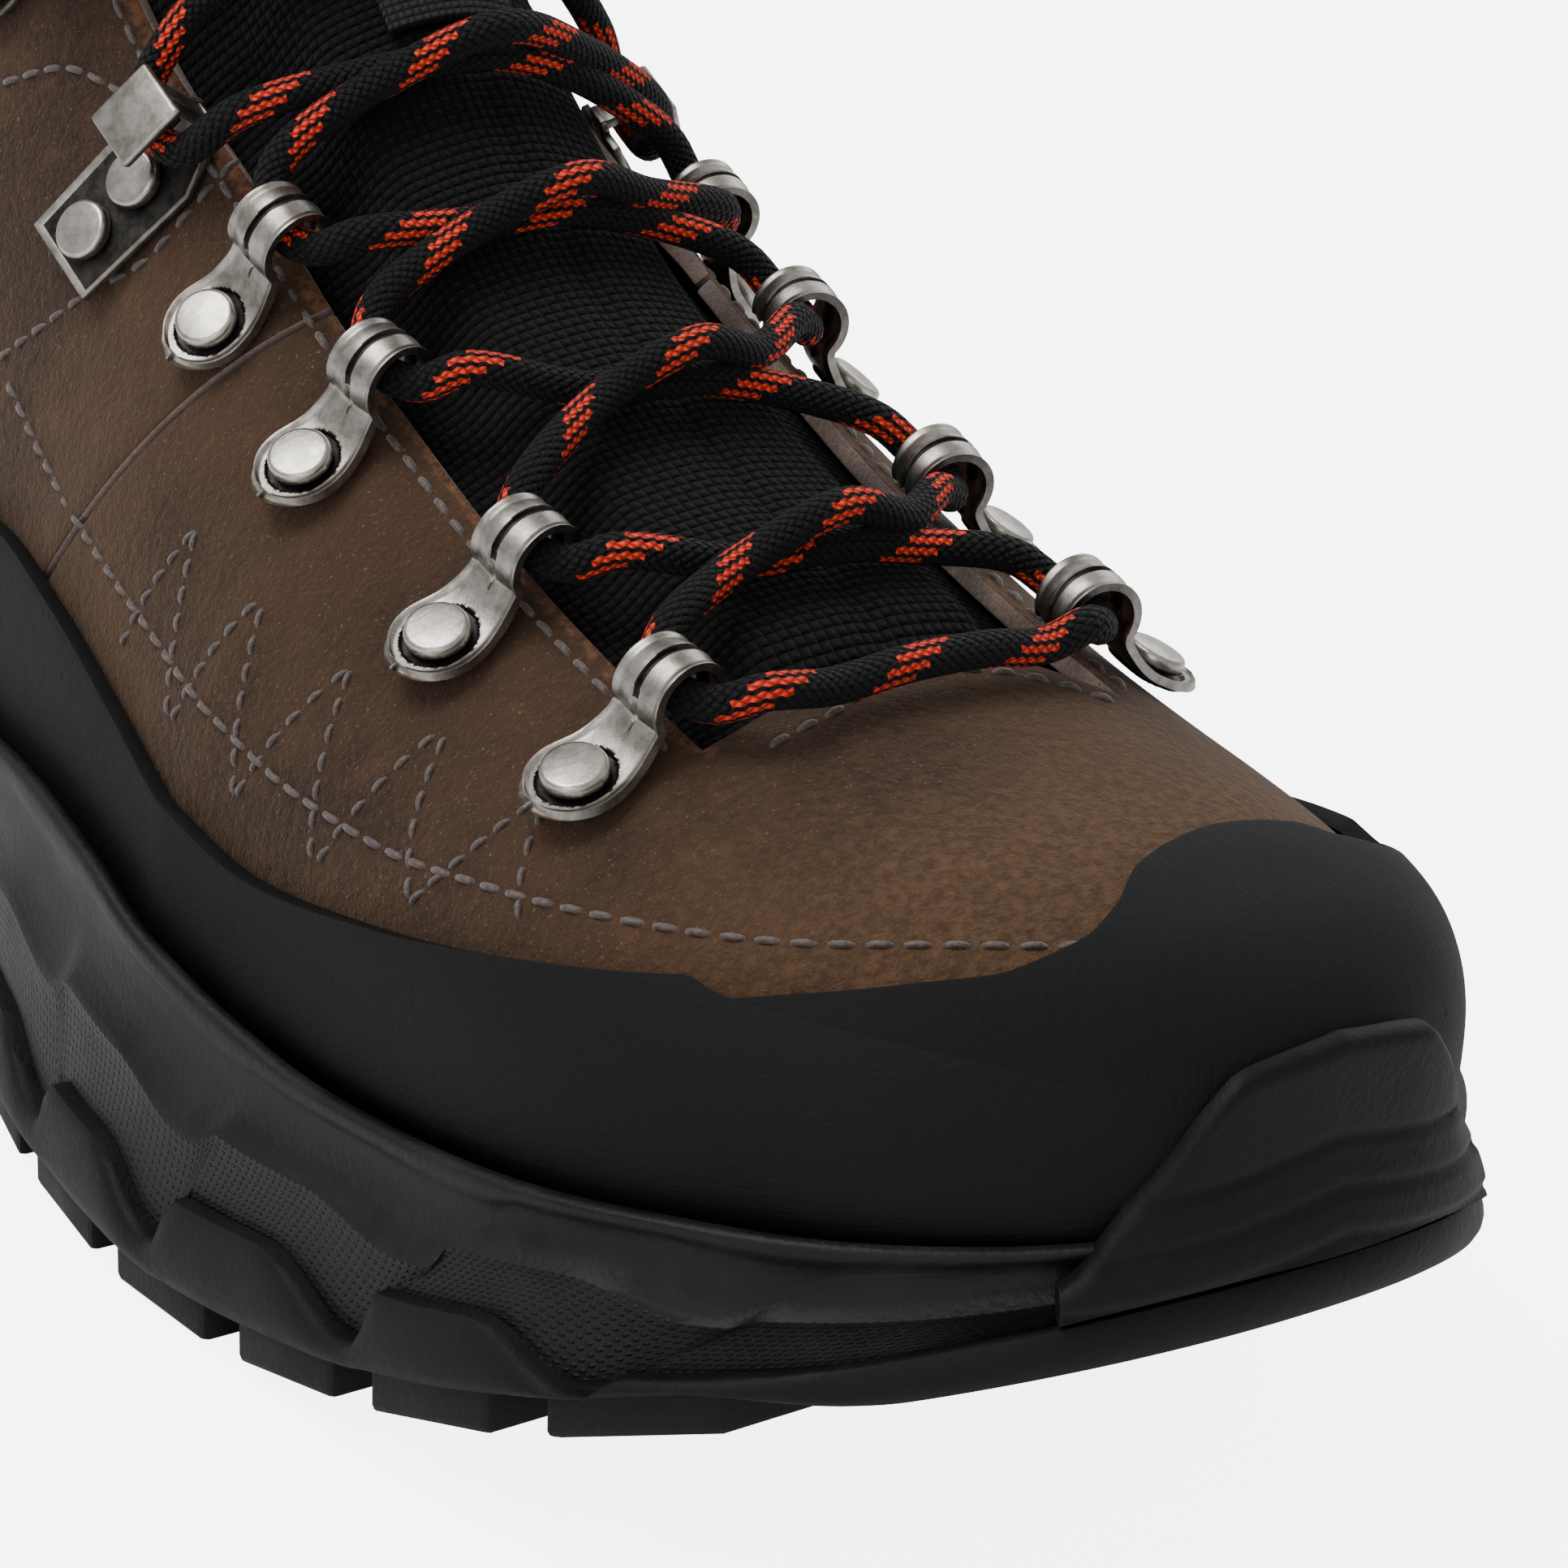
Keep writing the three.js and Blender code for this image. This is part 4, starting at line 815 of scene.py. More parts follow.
# %% Quarters, eyestays, cuff and heel strip
CUFF_FROM, COLLAR_TOP = 1.8, 1.985
for word, side in (("outer", -1), ("inner", 1)):
    def quarter_place(p, q, side=side):
        u = mix(seam(q) + 0.004, CUFF_FROM - 0.002, p)
        low = mix(LASTED, 0.985 * PI, smooth(1.55, 1.62, u))
        raised = 0.5 * (1 - smooth(0.0, 0.1, p)) * smooth(0, 0.08, p + 0.04)
        return u, side * mix(edge(u, side), low, q), raised
    quarter = join(f"quarter_leather_{word}", [lasted_grid("quarter", 70, 90, quarter_place)])
    finish_sheet(quarter, LEATHER, NUBUCK, RAW_EDGE)
    settle(quarter, "nubuck", f"quarter_{word}")

    def eyestay_place(p, q, side=side):
        u = mix(CUFF_FROM, COLLAR_TOP, p)
        return u, side * mix(edge(u, side), 0.395 * PI, q), 0 * p
    eyestay = join(f"eyestay_leather_{word}", [lasted_grid("eyestay", 20, 30, eyestay_place)])
    finish_sheet(eyestay, LEATHER, NUBUCK, RAW_EDGE)
    settle(eyestay, "nubuck", f"eyestay_{word}")

# %% [markdown]
# ## Collar
# The collar is a soft roll: foam under a leather cuff, sewn down along two lines. The cuff
# is a sheet whose depth swells between its seams, so it looks stuffed where it really is.

# %% Collar cuff and heel strip
COLLAR_FROM = 0.397 * PI


def cuff_place(p, q):
    u = mix(CUFF_FROM + 0.002, COLLAR_TOP, p)
    a = mix(COLLAR_FROM, 2 * PI - COLLAR_FROM, q)
    swell = np.sin(PI * p) ** 0.6 * np.sin(PI * np.clip(q * 8, 0, 0.5)) * np.sin(
        PI * np.clip((1 - q) * 8, 0, 0.5))
    pleat = 1 - 0.12 * bump_at(p, 0.5, 0.05)
    return u, wrap(a), 0.6 + 1.9 * swell * pleat


def depth_sheet(name, rows, columns, place):
    return join(name, [lasted_grid(name, rows, columns, place)])


cuff = depth_sheet("collar_cuff_leather", 34, 150, cuff_place)
finish_sheet(cuff, LEATHER, NUBUCK, RAW_EDGE)
settle(cuff, "nubuck", "collar_cuff")

heel_strip = depth_sheet("heel_strip_leather", 60, 16, lambda p, q: (
    mix(swing(57), CUFF_FROM - 0.02, p), wrap(mix(0.93 * PI, 1.07 * PI, q)), 0 * p + 2.2))
finish_sheet(heel_strip, 1.8, NUBUCK, RAW_EDGE)
settle(heel_strip, "nubuck", "heel_strip")


# %% Thread finish
def thread_finish(name, colour, shade):
    m, tree, shader = new_material(name)
    at = object_space(tree)
    twist = noise(tree, at, 2200.0, 2.0)
    tree.links.new(blend_colours(tree, ramp(tree, twist, 0.3, 0.7), shade, colour),
                   shader.inputs["Base Color"])
    add_bump(tree, shader, twist, 0.12)
    set_shader(shader, Roughness=0.62, Sheen_Weight=0.2)
    return m


THREAD = thread_finish("thread", (0.06, 0.038, 0.03), (0.022, 0.014, 0.011))

# %% [markdown]
# ## Stitches
# A sewn row is many short pieces of thread, each pulled into the leather at both ends. One
# stitch is modelled as a small bent capsule, then copied along a line on the last. Each
# one has few faces, because there are hundreds.


# %% Sew along a line
def sew(name, line, pitch=3.3, length=2.8, width=0.75, lift=0.14, slot="webbing"):
    """line is (u, a) points on the last; a row of stitches follows it on the leather."""
    line = np.asarray(line, float)
    t = np.linspace(0, 1, len(line))
    fine = np.linspace(0, 1, 1600)
    u = curve(*zip(t, line[:, 0]))(fine) if len(line) > 2 else np.interp(fine, t, line[:, 0])
    a = curve(*zip(t, line[:, 1]))(fine) if len(line) > 2 else np.interp(fine, t, line[:, 1])
    points, normals = skin_point(u, a), skin_normal(u, a)
    reach = np.concatenate([[0], np.cumsum(np.linalg.norm(np.diff(points, axis=0), axis=1))])
    count = max(int(reach[-1] // pitch), 1)
    share = np.array([-0.5, -0.42, -0.22, 0, 0.22, 0.42, 0.5])
    thick = np.array([0.25, 0.8, 1, 1, 1, 0.8, 0.25])
    sink = np.array([-0.55, -0.25, 0.0, 0.08, 0.0, -0.25, -0.55])
    sides = np.arange(6) * PI / 3
    vertices, faces = [], []
    for k in range(count):
        centre = (k + 0.5) * reach[-1] / count
        want = centre + share * length
        p = np.stack([np.interp(want, reach, points[:, c]) for c in range(3)], -1)
        n = np.stack([np.interp(want, reach, normals[:, c]) for c in range(3)], -1)
        along = p[-1] - p[0]
        along /= np.linalg.norm(along)
        b = np.cross(along, n)
        p = p + n * (lift + sink)[:, None]
        ring = n[:, None] * np.sin(sides)[None, :, None] + b[:, None] * np.cos(sides)[None, :, None]
        base = len(vertices)
        vertices += list((p[:, None] + ring * (width / 2 * thick)[:, None, None]).reshape(-1, 3))
        faces += [f[::-1] for f in grid_faces(7, 6, closed=True, start=base).tolist()]
        faces += [list(range(base, base + 6)), list(range(base + 41, base + 35, -1))]
    row = new_piece(name, vertices, faces)
    row.data.validate()
    use(row, THREAD)
    settle(row, slot)
    return row


def place_of(s, z, side=-1):
    """The (u, a) on one side whose point is at station s and height z."""
    u, a = np.meshgrid(np.linspace(0.3, 1.8, 300), side * np.linspace(0.2, 2.7, 300), indexing="ij")
    p = skin_point(u, a)
    k = np.argmin((p[..., 1] + HALF - s) ** 2 + (p[..., 2] - z) ** 2)
    return u.flat[k], a.flat[k]


STITCH_BACK = 2.6


def beside_edge(side, u, back):
    at = edge(u, side)
    per = np.linalg.norm(skin_point(u, side * at) - skin_point(u, side * (at + 0.02)), axis=-1) / 0.02
    return side * (at + back / per)


for word, side in (("outer", -1), ("inner", 1)):
    u = np.linspace(throat_corner(side) + 0.012, COLLAR_TOP - 0.01, 40)
    sew(f"eyestay_stitches_{word}", np.stack([u, beside_edge(side, u, STITCH_BACK)], -1))
main_row = [place_of(s, z) for s, z in ((14, 63.4), (20, 62.6), (34, 61), (47, 59.6), (65, 58), (80, 57.2),
                                        (98, 58.8), (110, 61.2), (128, 65.6), (143, 69.8),
                                        (157, 74), (169, 79.8))]
sew("main_stitches", main_row)
sew("quarter_stitches_up", [(1.36, -1.3), (1.308, -1.02), (1.272, -0.815), (1.277, -0.6)])
sew("quarter_stitches_top", [(1.49, -0.99), (1.456, -0.856), (1.389, -0.749), (1.343, -0.63)])

# %% [markdown]
# ## Zigzag
# A plain zigzag in the same thread runs across the main row on the outer side. It gets
# lower towards the toe.

# %% Zigzag
turns = np.arange(131, 52, -7.2)
main_line = curve((50, 59.3), (65, 58), (80, 57.2), (98, 58.8), (110, 61.2), (132, 66.6))
corners = [(s, main_line(s) + (11.5 if i % 2 else -5.2) * smooth(25, 95, s)) for i, s in enumerate(turns)]
for i, (start_at, end_at) in enumerate(zip(corners, corners[1:])):
    (s0, z0), (s1, z1) = start_at, end_at
    leg = [place_of(mix(s0, s1, t), mix(z0, z1, t)) for t in (0.03, 0.5, 0.97)]
    sew(f"zigzag_{i + 1}", leg, pitch=2.7, length=2.3, width=0.65, lift=0.12)
across = np.linspace(-0.44, 0.44, 20)
sew("throat_stitches", np.stack([throat_front(across) - 0.028, across], -1))

# %% [markdown]
# ## Rand
# The rand is a band of rubber glued over the foot of the leather, and over the toe it
# rises to a cap that takes the knocks. It is one moulded sheet, so it is laid on the last
# as the leather is, only further out, and its top edge is rounded more. Wiping it with a
# tyre brush leaves fine streaks along it, so its finish follows its UV map.


# %% Rubber finishes
def rubber_finish(name, dark, light, rough, streak=0.0, grain=1100.0, depth=0.14, mottle=0.6):
    m, tree, shader = new_material(name)
    at = object_space(tree)
    fine = noise(tree, at, grain, 4.0, 0.7)
    cloud = ramp(tree, noise(tree, at, 70.0, 5.0, 0.65), 0.35, 0.7)
    height = fine
    if streak:
        across, along = uv_axes(tree)
        line = node(tree, "CombineXYZ", X=maths(tree, "MULTIPLY", across, 2.2),
                    Y=maths(tree, "MULTIPLY", along, 0.14)).outputs[0]
        brushed = noise(tree, line, 1.0, 6.0, 0.7)
        height = maths(tree, "MULTIPLY_ADD", brushed, streak, fine)
        cloud = maths(tree, "MULTIPLY_ADD", brushed, 0.5, maths(tree, "MULTIPLY", cloud, 0.5))
    shade = maths(tree, "MULTIPLY", cloud, mottle)
    tree.links.new(blend_colours(tree, shade, dark, light), shader.inputs["Base Color"])
    tree.links.new(maths(tree, "MULTIPLY_ADD", cloud, 0.12, rough), shader.inputs["Roughness"])
    add_bump(tree, shader, height, depth)
    set_shader(shader, Specular_IOR_Level=0.13)
    return m


RAND_RUBBER = rubber_finish("rand_rubber", (0.0015, 0.0015, 0.0016), (0.0055, 0.0055, 0.0057), 0.62,
                            streak=1.2)
TREAD_RUBBER = rubber_finish("tread_rubber", (0.002, 0.002, 0.0021), (0.006, 0.006, 0.0062), 0.55)

# %% Rand
rand_line = curve((0, 62), (30, 59), (41, 56.5), (56, 54), (75, 51), (95, 49.2), (110, 51.6),
                  (125, 56.4), (143, 62), (160, 65.5), (190, 66.5), (235, 66), (302, 65))
CAP_ANGLE = 1.14
cap_line = curve((-CAP_ANGLE, 0.486), (-0.95, 0.394), (-0.74, 0.33), (-0.5, 0.314), (-0.33, 0.327),
                 (-0.13, 0.365), (0.14, 0.391), (0.39, 0.385), (0.52, 0.37), (0.68, 0.372),
                 (0.96, 0.407), (CAP_ANGLE, 0.486))
CAP_END = 0.486
RAND_WALL, TOE_TIP = 1.8, 0.03


def rand_ply(u):
    return PLY + 1.7 * smooth(1.38, 1.5, u) + 1.0 * (1 - smooth(0.35, 0.5, u))


def rand_outer(u):
    return rand_ply(u) + RAND_WALL


def s_of(points):
    return points[..., 1] + HALF


def rand_top(u, side):
    test = lambda a: skin_point(u, side * a)[..., 2] - rand_line(s_of(skin_point(u, side * a)))
    found = angle_where(test, 0 * u + 0.5, 0 * u + PI)
    return np.where(u <= CAP_END, CAP_ANGLE,
                    np.maximum(found, mix(CAP_ANGLE, 0.5, smooth(0, 0.3, u - CAP_END))))


def rand_low(u, side):
    foot = lambda s: foot_top(s) + 3.2 + 2.5 * smooth(215, 245, s)
    test = lambda a: skin_point(u, side * a)[..., 2] - foot(s_of(skin_point(u, side * a)))
    return np.maximum(rand_top(u, side), angle_where(test, 0 * u + PI / 2, 0 * u + PI))


backs = np.arange(swing(50), 1.8, 0.002)
behind = skin_point(backs, PI)
RAND_LAST = backs[np.argmax(behind[:, 2] >= rand_line(s_of(behind)))]
CAP_SHARE = 0.25


def rand_side(side, p, q):
    u = np.where(p < CAP_SHARE, CAP_END * p / CAP_SHARE,
                 mix(RAND_LAST, CAP_END, (np.maximum(1 - p, 0) / (1 - CAP_SHARE)) ** 1.5))
    u = np.maximum(u, TOE_TIP)
    column = u[:, 0]
    top, low = rand_top(column, side)[:, None], rand_low(column, side)[:, None]
    return u, side * mix(top, low, q), rand_outer(u)


def rand_cap(p, q):
    a = mix(-CAP_ANGLE, CAP_ANGLE, q)
    u = np.maximum(p * cap_line(a), TOE_TIP)
    return u, a, rand_outer(u)


rand = join("rand_rubber_band", [
    lasted_grid("rand_cap", 60, 90, rand_cap),
    lasted_grid("rand_outer_side", 260, 34, lambda p, q: rand_side(-1, p, q)),
    lasted_grid("rand_inner_side", 260, 34, lambda p, q: rand_side(1, p, q)),
])
finish_sheet(rand, RAND_WALL, RAND_RUBBER, worn=0.75)
settle(rand, "rand_rubber", "rand")

# %% [markdown]
# ## Outlines of the sole
# Midsole and outsole come out of moulds, so they are stacked outlines: each row of points
# runs right round the foot at its own height and distance from the edge of the tread.

# %% Outlines
tread_outer = curve((0, 52), (60, 54.5), (90, 56), (110, 57), (140, 54), (170, 48), (200, 46),
                    (240, 43), (302, 39))
tread_inner = curve((0, 46), (60, 50.5), (90, 53), (110, 52.5), (140, 49), (170, 45.5), (200, 43),
                    (240, 41), (302, 38))
tread_centre = curve((0, 10), (30, 6), (60, 3), (110, 1), (180, 0), (302, 0))
rubber_top = curve((0, 37.5), (10, 32.5), (25, 26), (50, 19), (75, 13.4), (105, 10), (170, 12),
                   (230, 14), (302, 16))
lip_line = curve((0, 42.5), (13, 39.8), (33, 38.2), (50, 36.2), (80, 34), (95, 35.9), (110, 39.3),
                 (123, 43), (145, 46), (302, 47))
LUG_DEPTH = 4.5


def tread_at(s):
    spring = 31 * np.clip(1 - s / 101, 0, 1) ** 1.5 + 5 * np.clip((s - 284) / 18, 0, None) ** 2
    return spring + 3.5 * smooth(168, 186, s) * (1 - smooth(206, 216, s))


STEPS = 260


def ring(inset, height, steps=STEPS):
    """A closed row round the tread's outline, set in by inset; height takes the station."""
    k = np.arange(2 * steps)
    outer = k <= steps
    s = LENGTH / 2 * (1 - np.cos(PI * np.where(outer, k, 2 * steps - k) / steps))
    half = np.where(outer, tread_outer(s), tread_inner(s)) * round_end(LENGTH - s, 38)
    half = half * np.where(outer, round_end(s, 62), round_end(s, 54))
    flat = np.stack([tread_centre(s) + np.where(outer, -half, half), s - HALF], -1)
    along = np.roll(flat, -1, 0) - np.roll(flat, 1, 0)
    along /= np.linalg.norm(along, axis=1)[:, None]
    flat = flat + np.stack([along[:, 1], -along[:, 0]], -1) * np.asarray(inset).reshape(-1, 1)
    return np.column_stack([flat, height(flat[:, 1] + HALF)])


def lip_side(side):
    u = np.arange(0.03, 1.7, 0.004)
    above = lambda a: (lambda p: p[..., 2] - lip_line(s_of(p)))(skin(u, side * a, rand_outer(u)))
    a = angle_where(above, 0 * u + 0.4 * PI, 0 * u + PI)
    keep = above(0 * u + PI) <= 0
    return skin(u, side * a, rand_outer(u))[keep]


LIP_SIDES = [lip_side(-1), lip_side(1)]


def lip_ring(out, height, steps=STEPS):
    """A closed row round the rand's own outline at the height of the lip, set out by out."""
    toe_x = (LIP_SIDES[0][0, 0] + LIP_SIDES[1][0, 0]) / 2
    halves = []
    for line in LIP_SIDES:
        toe, heel = line[0].copy(), line[-1].copy()
        toe[0], heel[0] = toe_x, 0
        path = np.vstack([toe, line, heel])
        reach = np.concatenate([[0], np.cumsum(np.linalg.norm(np.diff(path, axis=0), axis=1))])
        want = reach[-1] * (1 - np.cos(PI * np.arange(steps + 1) / steps)) / 2
        halves.append(np.stack([np.interp(want, reach, path[:, c]) for c in range(3)], -1))
    loop = np.vstack([halves[0], halves[1][1:-1][::-1]])[:, :2]
    for _ in range(6):
        loop = (np.roll(loop, 1, 0) + 2 * loop + np.roll(loop, -1, 0)) / 4
    along = np.roll(loop, -1, 0) - np.roll(loop, 1, 0)
    along /= np.linalg.norm(along, axis=1)[:, None]
    reach = out * mix(0.42, 1, smooth(8, 32, loop[:, 1] + HALF))
    flat = loop + np.stack([-along[:, 1], along[:, 0]], -1) * reach[:, None]
    return np.column_stack([flat, height(flat[:, 1] + HALF)])


def stack(name, rows):
    """A closed solid through a stack of rows, from the lowest to the highest."""
    rows = np.asarray(rows)
    m, n = rows.shape[:2]
    vertices = rows.reshape(-1, 3)
    faces = [f[::-1] for f in grid_faces(m, n, closed=True).tolist()]
    for base, under in ((0, True), ((m - 1) * n, False)):
        for i in range(n // 2):
            quad = list(dict.fromkeys(base + k for k in (i, i + 1, n - i - 1, (n - i) % n)))
            if len(quad) > 2:
                faces.append(quad if not under else quad[::-1])
    step = np.linalg.norm(np.roll(rows, -1, 1) - rows, axis=2).mean(0)
    far = np.concatenate([[0], np.cumsum(step)])
    lift = np.linalg.norm(np.diff(rows, axis=0), axis=2).mean(1)
    high = np.concatenate([[0], np.cumsum(lift)])
    uv = []
    for f in faces:
        first = min(k % n for k in f)
        last_column = len(f) == 4 and max(k % n for k in f) == n - 1 and first == 0
        for k in f:
            column = n if last_column and k % n == 0 else k % n
            uv.append((far[column], high[k // n]))
    piece = new_piece(name, vertices, faces, uv)
    select_only(piece)
    bpy.ops.object.mode_set(mode="EDIT")
    bpy.ops.mesh.select_all(action="SELECT")
    bpy.ops.mesh.normals_make_consistent(inside=False)
    bpy.ops.object.mode_set(mode="OBJECT")
    return piece


# %% [markdown]
# ## Outsole
# The tread rubber is cut up its side in long waves, which is what the eye reads from
# outside, and it stands on bevelled lugs. The block is a stack of outlines whose top row
# follows the waves, and the lugs are bevelled blocks sunk into its underside.

# %% Outsole
WAVES = ((36, 65), (66.5, 101), (102.5, 131), (132.5, 163), (164.5, 198), (199.5, 231),
         (232.5, 262), (263.5, 292))


def wave(s):
    """How far the tread rubber climbs at a station: a high rear part, then a fall."""
    out = 0 * s
    for front, rear in WAVES:
        t = (s - front) / (rear - front)
        shape = mix(-1.7, 4.4, smooth(0.12, 0.52, t))
        out = out + shape * smooth(front - 0.8, front + 0.8, s) * (1 - smooth(rear - 0.8, rear + 0.8, s))
    return out


def tread_top(s):
    return rubber_top(s) + wave(s)


def tread_foot(s):
    return tread_at(s) + mix(1.2, LUG_DEPTH, smooth(14, 30, s))


rows = [ring(3.2, tread_foot), ring(1.2, tread_foot)]
for t, inset in ((0.06, 0.5), (0.2, 0.1), (0.4, 0.0), (0.6, 0.15), (0.8, 0.45), (0.93, 0.8), (0.985, 1.2)):
    rows.append(ring(inset, lambda s, t=t: mix(tread_foot(s), tread_top(s), t)))
rows += [ring(1.9, tread_top), ring(3.4, tread_top), ring(4.4, lambda s: rubber_top(s) - 1.6),
         ring(8.0, lambda s: rubber_top(s) - 1.6)]
block = stack("outsole_block", rows)

LUG_ROWS = ((26, 42), (48, 65), (71, 88), (94, 112), (118, 136), (142, 160), (212, 228), (234, 250),
            (256, 271))


def lug(s0, s1, low, high):
    """A block under the tread between two stations and two shares of its half width."""
    corners = []
    for s in (s0, s1):
        for share in (low, high):
            toe = round_end(s, 62 if share < 0 else 48) * round_end(LENGTH - s, 38)
            half = (tread_outer(s) if share < 0 else tread_inner(s)) * toe - 1.2
            at = tread_at(s)
            corners += [(tread_centre(s) + share * half, s - HALF, at),
                        (tread_centre(s) + share * half, s - HALF, at + LUG_DEPTH + 1)]
    bpy.ops.object.select_all(action="DESELECT")
    bpy.ops.mesh.primitive_cube_add(size=2)
    piece = bpy.context.object
    for v in piece.data.vertices:
        k = 4 * (v.co.y > 0) + 2 * (v.co.x > 0) + (v.co.z > 0)
        v.co = Vector([float(c) for c in corners[k]]) * MM
    modify(piece, "BEVEL", width=0.9 * MM, segments=2)
    return piece


lugs = [lug(8, 21, -0.5, 0.55), lug(276, 292, -0.7, -0.12), lug(276, 292, 0.12, 0.7)]
for s0, s1 in LUG_ROWS:
    inner_lugs = ((-0.3, 0.3),) if s0 == 142 else ((-0.5, -0.08), (0.06, 0.5))
    lugs += [lug(s0, s1, -1, -0.66), lug(s0, s1, 0.64, 1)]
    lugs += [lug(s0 + 2, s1 + 1, *shares) for shares in inner_lugs]
outsole = join("outsole_tread", [block, *lugs])
use(outsole, TREAD_RUBBER)
select_only(outsole)
bpy.ops.object.shade_smooth_by_angle(angle=0.6)
settle(outsole, "tread_rubber", "outsole")
print("outsole", len(outsole.data.polygons), "faces")

# %% [markdown]
# ## Midsole
# The midsole is foam with a skin: a soft bead round the rand, a hollow band under it, a
# ridge, and a lower band with a fine dotted texture that comes from the mould.


# %% Midsole finish
def midsole_finish():
    m, tree, shader = new_material("midsole_skin")
    at = object_space(tree)
    far, high = uv_axes(tree)
    cloud = ramp(tree, noise(tree, at, 90.0, 5.0, 0.65), 0.35, 0.7)
    dx = maths(tree, "SUBTRACT", maths(tree, "FRACT", maths(tree, "MULTIPLY", far, 0.9)), 0.5)
    dy = maths(tree, "SUBTRACT", maths(tree, "FRACT", maths(tree, "MULTIPLY", high, 0.9)), 0.5)
    near = maths(tree, "SQRT", maths(tree, "ADD", maths(tree, "MULTIPLY", dx, dx),
                                     maths(tree, "MULTIPLY", dy, dy)))
    dots = maths(tree, "SUBTRACT", 1.0, ramp(tree, near, 0.12, 0.34))
    lower = maths(tree, "SUBTRACT", 1.0, ramp(tree, high, DOTS_TO - 0.6, DOTS_TO + 0.2))
    fine = noise(tree, at, 1400.0, 3.0)
    height = maths(tree, "MULTIPLY_ADD", maths(tree, "MULTIPLY", dots, lower), 0.9,
                   maths(tree, "MULTIPLY", fine, 0.35))
    tree.links.new(blend_colours(tree, cloud, (0.0028, 0.0027, 0.0029), (0.0085, 0.0082, 0.0088)),
                   shader.inputs["Base Color"])
    tree.links.new(maths(tree, "MULTIPLY_ADD", cloud, 0.1, 0.5), shader.inputs["Roughness"])
    add_bump(tree, shader, height, 0.3)
    set_shader(shader, Specular_IOR_Level=0.16)
    return m


# %% Midsole
RIDGE = 0.5
profile = curve((0, 0.1), (0.1, 0.55), (0.3, 0.9), (RIDGE - 0.06, 1.35), (RIDGE, 1.75),
                (RIDGE + 0.03, 1.2), (0.64, 0.1), (0.76, -0.25), (0.84, 0.0), (0.885, 0.55), (0.93, 1.0),
                (0.965, 1.05), (0.99, 0.8), (1.0, 0.45))
shares = np.concatenate([np.linspace(0, RIDGE, 22), np.linspace(RIDGE, 0.85, 16)[1:],
                         np.linspace(0.85, 1, 12)[1:]])
foot_row, lip_row = ring(3.0, lambda s: tread_top(s) - 0.6), lip_ring(2.7, lip_line)
outward = foot_row[:, :2] - ring(4.0, lambda s: 0 * s)[:, :2]
outward /= np.linalg.norm(outward, axis=1)[:, None]
rows = [ring(7, lambda s: rubber_top(s) - 1.2), ring(4.6, lambda s: rubber_top(s) - 1.2)]
for t in shares:
    row = mix(foot_row, lip_row, t)
    row[:, :2] += outward * float(profile(t))
    rows.append(row)
rows += [lip_ring(2.4, lambda s: lip_line(s) + 0.1), lip_ring(1.7, lambda s: lip_line(s) - 0.5),
         lip_ring(1.6, lambda s: lip_line(s) - 1.6), lip_ring(1.6, lambda s: foot_top(s) - 0.4)]
RIDGE_ROW = 2 + 21              # rows under the foam and up to the ridge
DOTS_TO = float(np.linalg.norm(np.diff(np.array(rows), axis=0), axis=2).mean(1)[:RIDGE_ROW].sum())
midsole = stack("midsole_foam_cup", rows)
use(midsole, midsole_finish())
select_only(midsole)
bpy.ops.object.shade_smooth_by_angle(angle=0.9)
settle(midsole, "midsole_foam", "midsole")
print("midsole", len(midsole.data.polygons), "faces, dots up to", round(DOTS_TO, 1))

# %% [markdown]
# ## Toe bumper
# At the toe the tread rubber turns up over the midsole and hugs the rand, with two
# grooves. Rays cast inwards find how far away the rand is at each height, and the bumper
# keeps an even wall outside it.

# %% Toe bumper
bumper_top = curve((0, 57.5), (11, 56), (14.5, 53), (18, 48), (22, 43), (25, 38.6), (27, 37))
BUMPER_STEPS, BUMPER_SPAN, BUMPER_WALL = 468, 44, 2.3
rand_tree = BVHTree.FromObject(rand, bpy.context.evaluated_depsgraph_get())
edge_row = ring(0, rubber_top, BUMPER_STEPS)
inner_row = ring(1, rubber_top, BUMPER_STEPS)
picks = np.arange(-BUMPER_SPAN, BUMPER_SPAN + 1) % (2 * BUMPER_STEPS)
start, inwards = edge_row[picks], (inner_row - edge_row)[picks]
inwards[:, 2] = 0
inwards /= np.linalg.norm(inwards, axis=1)[:, None]
top = np.maximum(bumper_top(np.abs(start[:, 0] - tread_centre(0))), start[:, 2] + 1.4)
count = 44
columns = []
for p, n, z1 in zip(start, inwards, top):
    heights = mix(p[2] + 0.4, z1, np.linspace(0, 1, count))
    gap = []
    for z in heights:
        origin = Vector((p[0] - n[0] * 30, p[1] - n[1] * 30, z)) * MM
        hit = rand_tree.ray_cast(origin, Vector(n), 0.09)
        gap.append(hit[3] / MM - 30 if hit[0] else np.nan)
    columns.append(gap)
gap = np.array(columns)
for row in gap:
    good = np.isfinite(row) & (row < 12)
    row[~good] = row[good][0] if good.any() else 2.5
windows = np.lib.stride_tricks.sliding_window_view(np.pad(gap, 6, mode="edge"), (13, 13))
gap = np.median(windows, axis=(2, 3))
for _ in range(30):
    wide = np.pad(gap, 1, mode="edge")
    gap = (wide[:-2, 1:-1] + wide[2:, 1:-1] + wide[1:-1, :-2] + wide[1:-1, 2:] + 2 * gap) / 6
z = mix(start[:, 2:3] + 0.4, top[:, None], np.linspace(0, 1, count)[None, :])
face = np.maximum(gap - BUMPER_WALL, -0.8)
face = mix(-0.6, np.maximum.accumulate(face, axis=1), smooth(0, 11, z - start[:, 2:3]))
for groove in (48.0, 43.5, 39.3):
    face = face + 0.4 * bump_at(z, groove - 0.16 * np.abs(start[:, :1] - tread_centre(0)), 0.55)
share = np.linspace(0, 1, count)[None, :]
